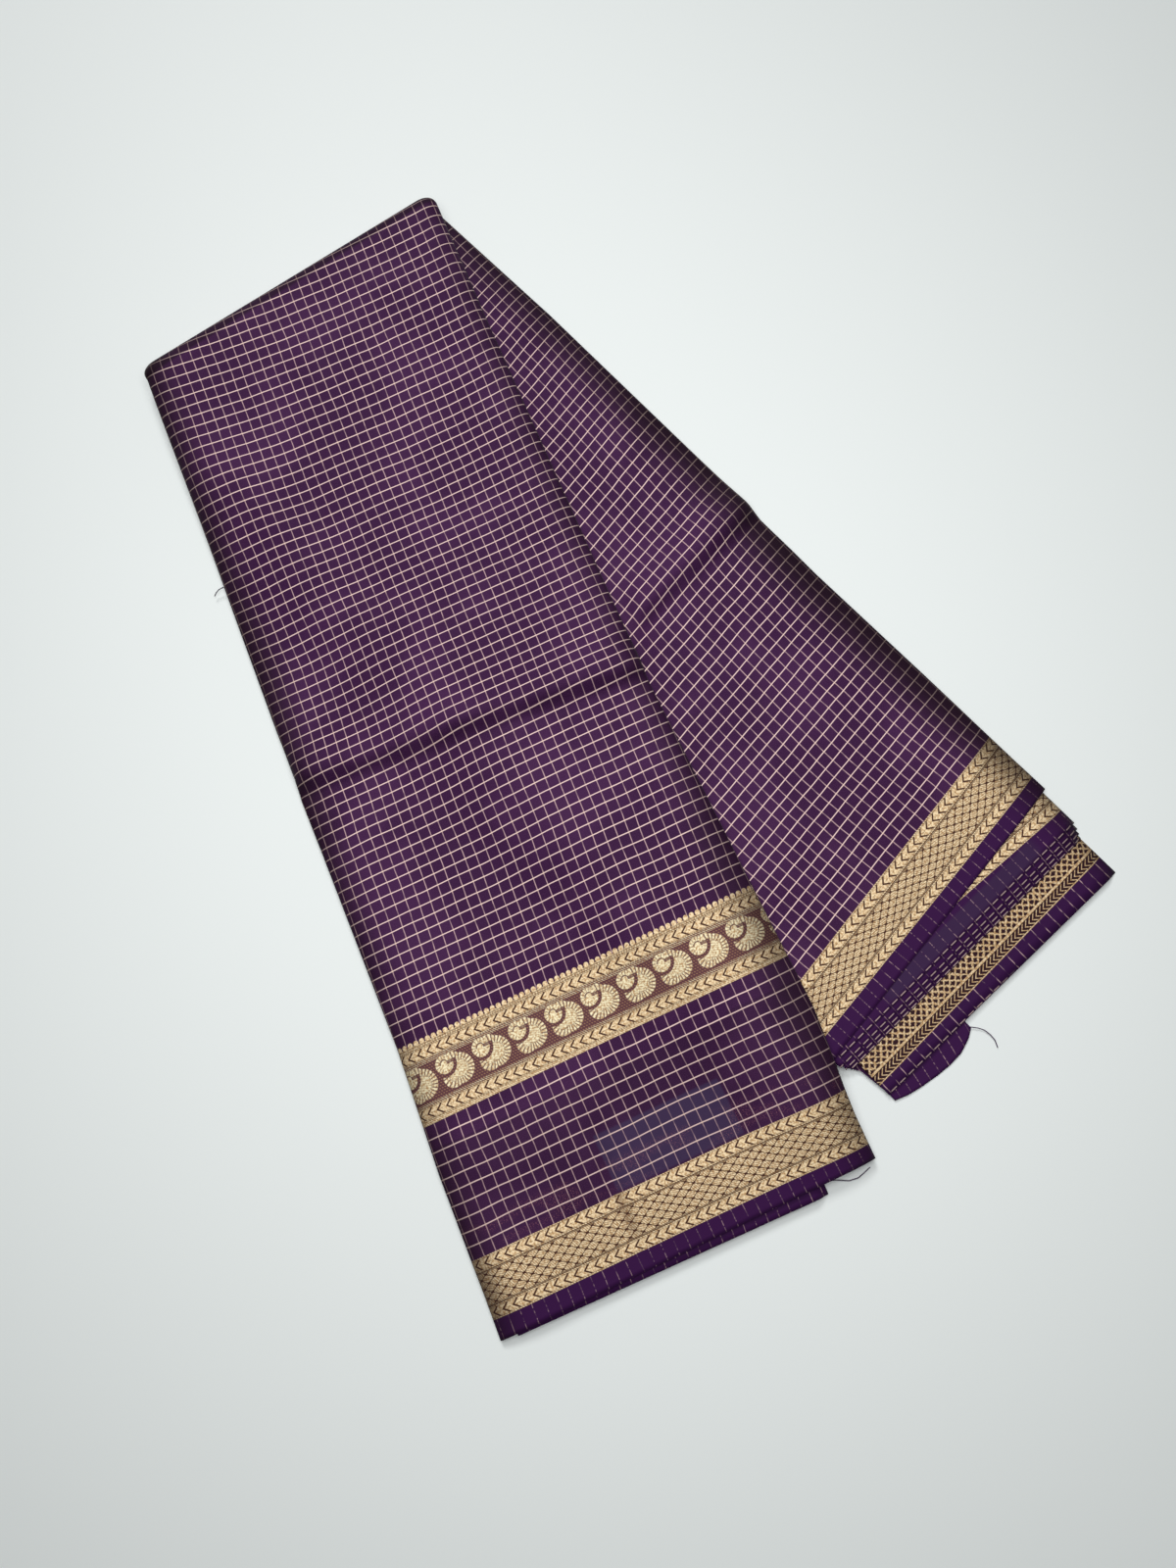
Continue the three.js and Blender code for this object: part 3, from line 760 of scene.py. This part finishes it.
def front_material():
    cloth = Cloth("checked cloth with border, front")
    along = cloth.along
    base, long_thread, cross_thread = front_ground(cloth)
    base = selvedge_cloth(cloth, base, long_thread, 0.5)
    through = cloth.between(cloth.across, *PATCH_ACROSS, 0.8) * cloth.between(along, *PATCH_ALONG, 0.8)
    base = cloth.mix(through * 0.5 * (1 - cross_thread) * (1 - long_thread * 0.6), base, SHOWN_THROUGH)
    flecks = cloth.noise(1.3, 3.2, 1.0, 41.0).rise(0.6, 0.68)
    flecks = flecks * cloth.noise(0.05, 0.1, 1.0, 5.0).rise(0.45, 0.6)
    base = cloth.mix(flecks * cloth.between(along, *FLECKED, 2) * 0.5, base, FLECK)
    # Painted shade over the gap between the border and the paisley band.
    base = cloth.mix(cloth.between(along, *SHADED_GAP, 5) * 0.2, base, PAINTED_SHADE_BROWN)
    base = cloth.mix(cloth.between(along, 0, BORDER_END), base, BROWN)
    gold = border_gold(cloth, along)
    # Painted shade on the gold: where the border's crease slopes away, and at its left end where the
    # cloth rolls down.
    crease_shade = cloth.between(cloth.across, *CREASE_SHADE_ACROSS, 2.5) * cloth.between(along, *CREASE_SHADE_ALONG, 6)
    left_end_shade = 1 - cloth.across.rise(*LEFT_END_SHADE)
    gold = gold * (1 - crease_shade.most(left_end_shade) * 0.45)
    return finish_front(cloth, base, gold, cross_thread.most(long_thread), GOLD)


# The part of the front that has the band's own material, and the band's mauve panel and brown ground.
BAND_PART = (86, 152)
BAND_PANEL = (107.4, 129.6)
BAND_GROUND = (99, 138)


def band_material():
    cloth = Cloth("paisley band")
    along = cloth.along
    base, long_thread, cross_thread = front_ground(cloth)
    panel = cloth.between(along, *BAND_PANEL)
    mesh = cloth.line(cloth.across + along * 0.5, 1.5, 0.7, 0.15) * cloth.line(along, 1.3, 0.6, 0.15)
    under = cloth.mix(panel, BROWN, cloth.mix(mesh * 0.45, MAUVE, GOLD_DEEP))
    base = cloth.mix(cloth.between(along, *BAND_GROUND), base, under)
    gold = paisley_band_gold(cloth, along)
    bright = cloth.mix(panel, GOLD, GOLD_BRIGHT)
    return finish_front(cloth, base, gold, cross_thread.most(long_thread), bright)


THREAD_STEPS = 25
THREAD_WIDTH = 0.4
THREAD_SPOT = (3.0, -5.0)


def loose_thread(arm, bends):
    """A frayed thread, as a narrow strip of the same cloth. bends give its across, down and height."""
    bends = np.array(bends, dtype=float)
    steps = np.linspace(0, len(bends) - 1, THREAD_STEPS)
    across, down, height = (np.interp(steps, range(len(bends)), bends[:, axis]) for axis in range(3))
    run_across, run_down = np.gradient(across), np.gradient(down)
    run = np.hypot(run_across, run_down)
    grid = []
    for side in (-THREAD_WIDTH / 2, THREAD_WIDTH / 2):
        plan = arm.place(across - run_down / run * side, down + run_across / run * side)
        grid.append(np.column_stack([plan, height]))
    return np.array(grid), np.full((2, THREAD_STEPS, 2), THREAD_SPOT)


EDGE_THREAD = [
    (-5.0, 134.2, 4.6),
    (-8.0, 134.2, 4.0),
    (-10.2, 135.0, 3.2),
    (-11.8, 136.2, 2.6),
]
FOLD_TURNS = 24
front_rows = split(FRONT_STATIONS, ROW_SPACING)
top_points, top_cloth = arm_grid(
    front, front_rows, False, front_bed, front_lift, front_squeeze, front_cloth, (TOP, WRAP))
fold_points, fold_cloth = fold_grid(ACROSS_STEPS, EDGE_STEPS, FOLD_TURNS)
front_top = sheet_object("front_top_cloth", [
    (np.concatenate([fold_points, top_points]), np.concatenate([fold_cloth, top_cloth])),
    loose_thread(front, EDGE_THREAD),
], front_material(), band=(band_material(), *BAND_PART))
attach(front_top, "root")
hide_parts("front_face", "fold_face")

# Front arm, underside. The lowest stretch of the same cloth lies on the back arm and on the surface.
# It is the plain checked cloth with painted shade: its colour is mixed part way towards a darker purple.
UNDER_SHADE_COLOUR = colour(40, 20, 52)
UNDER_SHADE_PART = 0.35
UNDER_ROUGHNESS = 0.8


def under_cloth_material():
    cloth = Cloth("checked cloth, underside")
    base, _, _ = ground_cloth(cloth, cloth.along, cloth.along.rise(*FIRST_ROW))
    return cloth.finish(cloth.mix(UNDER_SHADE_PART, base, UNDER_SHADE_COLOUR), UNDER_ROUGHNESS)


under_points, under_cloth = arm_grid(
    front, front_rows, False, front_bed, front_lift, front_squeeze, front_cloth, (UNDERSIDE,))
under_material = under_cloth_material()
front_under = sheet_object("front_underside_cloth", [(under_points, under_cloth)], under_material)
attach(front_under, "root")
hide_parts("front_underside")

# Back arm, top stretch. The cloth's other face is up, with the border but no paisley band. It wraps
# round its smooth right edge. Its hem is the first leaf of the fan.
BACK_STATIONS = np.array([
    (0, 0, 0, 0),
    (130, 1, 131, 189),
    (250, 2.5, 254, 188),
    (297, 3, 291, 188),
    (309, 3, 303, 187),
    (350, 3.5, 345, 186),
    (430, 4.5, 426, 186.6),
    (500, 5, 490, 186.6),
    (532, 5.5, 511, 187),
])

# The first station is the slanted fold, which both arms share.
fold_start = front.place(FRONT_STATIONS[0][1], FRONT_STATIONS[0][0])
fold_end = front.place(FRONT_STATIONS[0][3], FRONT_STATIONS[0][2])
BACK_STATIONS[0] = [*reversed(back.measure(fold_start)), *reversed(back.measure(fold_end))]
BACK_CREST = 3
BACK_FOOT = 4
BACK_WAVES = [
    (-0.8, 210, 140, 80, 18, 0.02),
    (0.8, 390, 118, 80, 24, 0.05),
    (-0.9, 430, 76, 70, 22, -0.05),
]
BACK_ROWS = np.array([
    (0, 523, 28),
    (50, 474, 28),
    (159, 363, 28.6),
    (212, 309, 28),
    (260, 261, 24),
    (297, 222, 22),
    (309, 209.5, 21),
    (350, 169, 18.8),
    (396, 124, 19),
    (430, 91.4, 19.5),
    (470, 53.6, 21.5),
    (495, 30, 22.5),
    (521.5, 0, 21),
    (535, -14, 20),
    (580, -59, 20),
])
BACK_COLUMNS = np.array([
    (0, 1.03, -2),
    (130, 1.03, 0),
    (212, 1.02, 4.5),
    (260, 1.01, 6.5),
    (297, 1.01, 7.5),
    (330, 1.01, 10),
    (360, 1.0, 11),
    (396, 0.99, 11.3),
    (430, 0.99, 10.8),
    (458, 1.0, 8.5),
    (535, 1.0, 1.5),
    (580, 1.0, 1.5),
])
BACK_HEM_SQUEEZE = (0.16, 488, 532)
BACK_LEFT_EASE = (0, 20)
BACK_RIGHT_EASE = (170, 190)
BACK_SHOULDER = (166, 188)

# How far past the front arm's right edge the back arm's crease and waves come up to their full height.
UNCOVERED = (2, 16)


def front_right_edge(down):
    return np.interp(down, FRONT_STATIONS[:, 2], FRONT_STATIONS[:, 3])


def back_lift(plan):
    across, down = back.measure(plan)
    front_across, front_down = front.measure(plan)
    uncovered = smooth(front_across - front_right_edge(front_down), *UNCOVERED)
    ease = smooth(across, *BACK_LEFT_EASE) * (1 - smooth(across, *BACK_RIGHT_EASE))
    crease = crease_lift(BACK_STATIONS, BACK_CREST, BACK_FOOT, across / PANEL_WIDTH, down)
    shoulder = smooth(across, *BACK_SHOULDER) * SHOULDER
    return uncovered * (crease + wave_lift(BACK_WAVES, across, down) * ease) - shoulder


def back_squeeze(down):
    return squeeze_at(down, BACK_HEM_SQUEEZE)


def back_cloth(across, down, part):
    return cloth_place(across, down, part, BACK_COLUMNS, BACK_ROWS)


def flat_bed(plan):
    return np.zeros(len(plan))


# Where the painted shade at the edges starts and ends on the back arm and on the leaves: left edge, then
# right edge.
BACK_EDGES = (-9, 16, 164, 194)
SHEER_GREY = colour(62, 52, 74)
SHEER_ACROSS = (50, 160)
SHEER_DEPTH = (1.5, 10)


def border_cloth(name, hem_along=None, sheer=False, right_shade=1.0):
    """Checked cloth with the gold border, for the back arm and for the leaves at the hems."""
    cloth = Cloth(name)
    along = cloth.along
    rows = along - BORDER_END
    base, long_thread, cross_thread = ground_cloth(cloth, rows, along.rise(*FIRST_ROW))
    base = selvedge_cloth(cloth, base, long_thread, 0.6)
    if sheer:
        from_hem = along - hem_line(cloth, hem_along)
        thin = cloth.between(cloth.across, *SHEER_ACROSS, 4)
        thin = thin * cloth.between(from_hem, *SHEER_DEPTH, 1.0)
        base = cloth.mix(thin * 0.42 * (1 - long_thread * 0.6), base, SHEER_GREY)
    base = cloth.mix(cloth.between(along, 0, BORDER_END), base, BROWN)
    gold = border_gold(cloth, along)
    base = lay_gold(cloth, base, gold, GOLD)
    if hem_along:
        from_hem = along - hem_line(cloth, hem_along)
        base = cloth.mix(hem_dashes(cloth, from_hem), base, CROSS_THREAD)
    base = edge_shade(cloth, base, 0.0, right_shade, BACK_EDGES)
    return finish_gold(cloth, base, gold, cross_thread * 0.5 + long_thread * 0.3)


back_rows = split(BACK_STATIONS, ROW_SPACING)
back_points, back_coords = arm_grid(
    back, back_rows, True, flat_bed, back_lift, back_squeeze, back_cloth, (TOP, WRAP))
back_top_material = border_cloth("checked cloth with border")
back_top = sheet_object("back_top_cloth", [(back_points, back_coords)], back_top_material)
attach(back_top, "root")
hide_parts("back_face")

# Back arm, underside. The bottom stretch of the same cloth lies flat on the surface, on to the bottom
# hem. Only the weight of the layers above holds it.
UNDER_HEM = np.array([
    (546, 14.5, 543, 183.6),
    (563, 16.5, 563.5, 182.2),
])
back_under_rows = split(np.concatenate([BACK_STATIONS, UNDER_HEM]), ROW_SPACING)
bottom_points, bottom_coords = arm_grid(
    back, back_under_rows, True, flat_bed, flat_bed, lambda down: 1, back_cloth, (UNDERSIDE,))
back_under = sheet_object("back_underside_cloth", [(bottom_points, bottom_coords)], under_material)
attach(back_under, "root")
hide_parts("back_underside")

# Hidden layers of both arms and of the fold. Thirty thinner turns of the cloth are pressed together.
# They show only as stacked rounded edges along the open side and at the hem.
LAYER_EDGES = 7
LAYER_DEPTH = 1.2
LAYER_INSET = 1.4
LAYER_SPACING = 3
LAYER_ACROSS_STEPS = 40
LAYER_EDGE_STEPS = 26
LAYER_DARK = colour(36, 16, 48)
LAYER_LIGHT = colour(64, 34, 78)
LAYER_THREAD_WIDTH = 0.6
LAYER_ROUGHNESS = 0.85


def layer_grid(arm, rows, mirrored, bed, lift, squeeze):
    points, coords = [], []
    for row in rows:
        width = math.hypot(row[3] - row[1], row[2] - row[0])
        ring = section(width, LAYER_ACROSS_STEPS, LAYER_EDGE_STEPS, 0, 0)
        middle = ARM_THICK / 2
        inward = (middle - LAYER_INSET) / middle
        height = middle + (ring[:, 1] - middle) * inward
        across = width / 2 + (ring[:, 0] - width / 2) * (1 - 2 * LAYER_INSET / width)
        open_side = smooth(ring[:, 0], width - EDGE_TOP, width - LAYER_INSET)
        stacked = np.abs(np.cos(height / ARM_THICK * math.pi * LAYER_EDGES))
        across = across - open_side * stacked * LAYER_DEPTH
        part = (width - across if mirrored else across) / width
        down = lerp(row[0], row[2], part)
        plan = arm.place(lerp(row[1], row[3], part), down)
        weight = (height / ARM_THICK) ** 2
        z = bed(plan) + height * squeeze(down) + lift(plan) * weight
        points.append(np.column_stack([plan, z]))
        coords.append(np.column_stack([ring[:, 2], down]))
    return np.array(points), np.array(coords)


def layer_material():
    cloth = Cloth("stacked layers")
    threads = cloth.line(cloth.along, CHECK, LAYER_THREAD_WIDTH) * 0.35
    base = cloth.mix(cloth.noise(0.4, 2.0, 3.0), LAYER_DARK, LAYER_LIGHT)
    return cloth.finish(cloth.mix(threads, base, CROSS_THREAD), LAYER_ROUGHNESS)


def add_sheet(name, grids, material, node):
    made = sheet_object(name, grids, material)
    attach(made, "root")
    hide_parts(node)


stack = layer_material()
front_stack = layer_grid(
    front, split(FRONT_STATIONS[:-1], LAYER_SPACING), False, front_bed, front_lift, front_squeeze)
back_stack = layer_grid(
    back, split(BACK_STATIONS[:-1], LAYER_SPACING), True, flat_bed, back_lift, back_squeeze)
add_sheet("front_stack", [front_stack], stack,
          "front_layers")
add_sheet("back_stack", [back_stack], stack,
          "back_layers")
INNER_TURNS = 12
INNER_SCALE = 0.9
inner_points, inner_coords = fold_grid(LAYER_ACROSS_STEPS, EDGE_STEPS, INNER_TURNS)
centre_line = inner_points.mean(axis=0)
shrunk = centre_line + (inner_points - centre_line) * INNER_SCALE
add_sheet("fold_stack", [(shrunk, inner_coords)], stack,
          "fold_layers")

# The fan past the back arm's top hem. Each leaf is one layer of the folded cloth that slips a little
# further out than the one above it, selvedge first.
LEAF_HEM_ALONG = (-19.0, -9.3)

# The leaves of each piece: height, hem down at the left and right, and across from left to right.
FAN_LEAVES = {
    "back_leaf_2": [(7.4, 533.4, 533.6, 12.5, 184.6)],
    "back_leaf_3": [(6.2, 537.2, 537.0, 8.5, 183.8)],
    "back_leaf_4": [(5.0, 539.9, 539.6, 10, 183.0), (4.0, 542.0, 541.8, 12, 182.2)],
}
FAN_START = (505.0, 487.0)
LEAF_ROWS = 14
LEAF_COLUMNS = 90
LEAF_SAG = 0.5
LEAF_ROLL_WIDTH = 9
LEAF_ROLL_DROP = 3.5
LEAF_LOWEST = 0.6


def leaf_grid(arm, leaf, start, hem_along, bed):
    """A leaf from its start under the arm to its hem, rolled down a little at its right end."""
    height, left_down, right_down, left, right = leaf
    points, coords = [], []
    part = np.linspace(0, 1, LEAF_COLUMNS + 1)
    across = lerp(left, right, part)
    hem = lerp(left_down, right_down, part)
    first = lerp(start[0], start[1], part)
    for row in range(LEAF_ROWS + 1):
        far = row / LEAF_ROWS
        down = lerp(first, hem, far)
        plan = arm.place(across, down)
        roll = smooth(across, right - LEAF_ROLL_WIDTH, right)
        drop = roll**2 * min(height - LEAF_LOWEST, LEAF_ROLL_DROP)
        z = bed(plan) + height - far * far * LEAF_SAG - drop
        points.append(np.column_stack([plan, z]))
        coords.append(np.column_stack([across, lerp(*hem_along, part) + hem - down]))
    return np.array(points), np.array(coords)


leaf_material = border_cloth("fan leaf", LEAF_HEM_ALONG)
sheer_leaf_material = border_cloth("fan leaf, sheer", LEAF_HEM_ALONG, sheer=True)
for node, leaves in FAN_LEAVES.items():
    grids = [leaf_grid(back, leaf, FAN_START, LEAF_HEM_ALONG, flat_bed) for leaf in leaves]
    material = sheer_leaf_material if node == "back_leaf_2" else leaf_material
    add_sheet("fan_" + node, grids, material, node)

# The fan's reverse leaf is the same cloth turned over, so it shows the wrong side of the border. There
# the gold threads float, and they outline dark cells.
REVERSE = (3.0, 563.4, 566.0, 16.8, 181.8)
REVERSE_HEM_ALONG = (-6.5, -11.0)
REVERSE_GROUND = colour(44, 22, 56)
CELL_BROWN = colour(50, 28, 34)
CELL_SIZE = 4.2
CELLS = (6.6, 30)
CELLS_START = 7
RIDGE = (5.2, 6.5)
STRANDS = (0.6, 4.8)
STRANDS_MIDDLE = 2.6
RIM = (-0.1, 0.5)
DASHES_END = (90, 110)


def reverse_cloth():
    cloth = Cloth("border, wrong side")
    along = cloth.along
    weave = cloth.noise(2.2, 2.2, 3.0)
    base = cloth.mix(weave.rise(0.3, 0.75) * 0.5, SELVEDGE, REVERSE_GROUND)
    threads = cloth.line(cloth.across, CHECK, LONG_THREAD_WIDTH, THREAD_SOFT)
    threads = threads * cloth.noise(0.9, 0.2, 2.0, 3.0).rise(0.35, 0.6)
    base = cloth.mix(threads * 0.7, base, LONG_THREAD)
    wobble = (cloth.noise(0.5, 0.5, 1.0, 17.0) - 0.5) * 0.5
    net = cloth.across / CELL_SIZE + (along - CELLS_START) / CELL_SIZE + wobble
    other = cloth.across / CELL_SIZE - (along - CELLS_START) / CELL_SIZE + wobble
    outline = cloth.line(net, 1.0, 0.3, 0.08).most(cloth.line(other, 1.0, 0.3, 0.08))
    netted = outline * cloth.between(along, *CELLS)
    ridge = cloth.between(along, *RIDGE)
    lean = abs(along - STRANDS_MIDDLE) * HEAD_SLANT
    strands = cloth.line(cloth.across - lean, BRAID_PITCH / 2, 0.75, 0.2)
    strands = strands * cloth.between(along, *STRANDS)
    rim = cloth.between(along, *RIM)
    base = cloth.mix(cloth.between(along, 0, BORDER_END + 1), base, CELL_BROWN)
    gold = netted.most(ridge).most(strands).most(rim)
    gold_colour = cloth.mix(cloth.noise(0.9, 0.9, 2.0, 5.0).rise(0.3, 0.8), GOLD_DEEP, GOLD)
    base = cloth.mix(gold * 0.88, base, gold_colour)
    on_left = 1 - cloth.across.rise(*DASHES_END)
    from_hem = along - hem_line(cloth, REVERSE_HEM_ALONG)
    base = cloth.mix(hem_dashes(cloth, from_hem) * on_left, base, CROSS_THREAD)
    base = edge_shade(cloth, base, 0.0, 1.0, BACK_EDGES)
    return cloth.finish(base, 0.72 - gold * 0.18, gold + weave * 0.25)


reverse_grid = leaf_grid(back, REVERSE, FAN_START, REVERSE_HEM_ALONG, flat_bed)
add_sheet("fan_reverse", [reverse_grid], reverse_cloth(), "back_leaf_reverse")

# The fan's bottom leaf: a short rounded lobe of selvedge that swings out past the others. It is the end
# of the lowest layer, and a thread frays from it.
LOBE_HEM = np.array([
    (17.2, 567.6),
    (24, 570.3),
    (32, 572.2),
    (42, 573.9),
    (50, 574.6),
    (58, 574.3),
    (66, 571.8),
    (70.8, 569.0),
])
LOBE_START = 552
LOBE_ALONG = 576
LOBE_ROWS = 14
LOBE_COLUMNS = 48
LOBE_HIGH = 1.3
LOBE_DROP = 0.7
LOBE_WAVE = 0.3
LOBE_WAVE_LENGTH = 9
LOBE_LEAN = 0.25
lobe_across = np.linspace(LOBE_HEM[0, 0], LOBE_HEM[-1, 0], LOBE_COLUMNS + 1)
lobe_hem = np.interp(lobe_across, LOBE_HEM[:, 0], LOBE_HEM[:, 1])
lobe_points, lobe_coords = [], []
for lobe_row in range(LOBE_ROWS + 1):
    lobe_far = lobe_row / LOBE_ROWS
    lobe_down = lerp(LOBE_START, lobe_hem, lobe_far)
    lobe_plan = back.place(lobe_across, lobe_down)
    lobe_height = LOBE_HIGH - LOBE_DROP * lobe_far + LOBE_WAVE * np.sin(lobe_across / LOBE_WAVE_LENGTH)
    lobe_points.append(np.column_stack([lobe_plan, lobe_height]))
    lobe_lean = (lobe_down - LOBE_START) * LOBE_LEAN
    lobe_coords.append(np.column_stack([lobe_across + lobe_lean, lobe_down - LOBE_ALONG]))
LOBE_THREAD = [
    (70.2, 567.8, 1.2),
    (73.2, 571.5, 1.0),
    (74.7, 574.2, 0.9),
    (75.3, 578.0, 0.7),
    (75.0, 581.5, 0.6),
    (73.3, 585.0, 0.5),
]
lobe = (np.array(lobe_points), np.array(lobe_coords))
add_sheet("fan_bottom", [lobe, loose_thread(back, LOBE_THREAD)], leaf_material,
          "back_leaf_bottom")

# Leaves under the front arm's hem. They are the next layers of the folded cloth, and the second one's
# selvedge shows past the top one. A thread frays from the third.

# Height, hem down at the left and right, and across from left to right.
FRONT_LEAVES = {
    "front_leaf_2": (4.7, 554.9, 552.8, 0, 167),
    "front_leaf_3": (2.4, 551.5, 543, 2, 189),
}
FRONT_LEAF_START = (520, 511)
FRONT_HEM_ALONG = (-12, -12)
HEM_THREAD = [
    (168.0, 546.0, 2.2),
    (174.3, 548.6, 1.6),
    (179.0, 551.0, 1.0),
    (184.1, 551.6, 0.7),
    (189.0, 550.1, 0.6),
    (191.6, 549.2, 0.6),
]
hem_material = border_cloth("front leaf", right_shade=0.0)
for node, leaf in FRONT_LEAVES.items():
    grids = [leaf_grid(front, leaf, FRONT_LEAF_START, FRONT_HEM_ALONG, front_bed)]
    if node == "front_leaf_3":
        grids.append(loose_thread(front, HEM_THREAD))
    add_sheet("hem_" + node, grids, hem_material, node)

# Stage: the pale plain surface that the saree lies on. Soft light comes mostly from beyond the fold,
# with a weaker one overhead.
FLOOR_HALF = 3.0
FLOOR_COLOUR = (0.80, 0.84, 0.83, 1)
FLOOR_ROUGHNESS = 0.6
ROOM_COLOUR = (0.95, 1.0, 0.99, 1)
ROOM_STRENGTH = 0.06
floor_mesh = bpy.data.meshes.new("floor")
floor_mesh.from_pydata([
    (-FLOOR_HALF, -FLOOR_HALF, 0), (FLOOR_HALF, -FLOOR_HALF, 0),
    (FLOOR_HALF, FLOOR_HALF, 0), (-FLOOR_HALF, FLOOR_HALF, 0),
], [], [(0, 1, 2, 3)])
floor = bpy.data.objects.new("floor", floor_mesh)
bpy.context.scene.collection.objects.link(floor)
floor_material = bpy.data.materials.new("pale surface")
floor_material.use_nodes = True
floor_surface = floor_material.node_tree.nodes["Principled BSDF"]
floor_surface.inputs["Base Color"].default_value = FLOOR_COLOUR
floor_surface.inputs["Roughness"].default_value = FLOOR_ROUGHNESS
floor_mesh.materials.append(floor_material)

world = bpy.data.worlds.new("soft room")
world.use_nodes = True
world.node_tree.nodes["Background"].inputs["Color"].default_value = ROOM_COLOUR
world.node_tree.nodes["Background"].inputs["Strength"].default_value = ROOM_STRENGTH
bpy.context.scene.world = world


def area_light(name, place, size, power):
    """A round soft light that points at the origin."""
    data = bpy.data.lights.new(name, "AREA")
    data.shape = "DISK"
    data.size = size
    data.energy = power
    made = bpy.data.objects.new(name, data)
    made.location = place
    made.rotation_euler = (-made.location).to_track_quat("-Z", "Y").to_euler()
    made.visible_camera = False
    bpy.context.scene.collection.objects.link(made)


# Place, size in metres and power in watts of the two lights.
LIGHTS = {
    "key": ((-0.5, 1.6, 1.8), 0.9, 30),
    "overhead": ((0.0, -0.05, 0.75), 0.6, 4.3),
}
for name, light in LIGHTS.items():
    area_light(name, *light)
bpy.context.scene.view_settings.view_transform = "Standard"

# Camera: held over the saree, a little below its middle, looking almost straight down. The three
# directions are its own axes, and it stands at CAMERA_AT, in metres.
RIGHT = (0.9992, 0, -0.0393)
UP = (0.0072, 0.9833, 0.1818)
BACKWARD = (0.0386, -0.1819, 0.9826)
CAMERA_AT = (0.01385, -0.14705, 0.6161)
FOCAL_LENGTH = 27
SENSOR_WIDTH = 36
NEAREST = 0.01
lens = bpy.data.cameras.new("camera")
lens.lens = FOCAL_LENGTH
lens.sensor_width = SENSOR_WIDTH
lens.clip_start = NEAREST
camera = bpy.data.objects.new("camera", lens)
camera.matrix_world = Matrix([*zip(RIGHT, UP, BACKWARD, CAMERA_AT), (0, 0, 0, 1)])
bpy.context.scene.collection.objects.link(camera)
bpy.context.scene.camera = camera
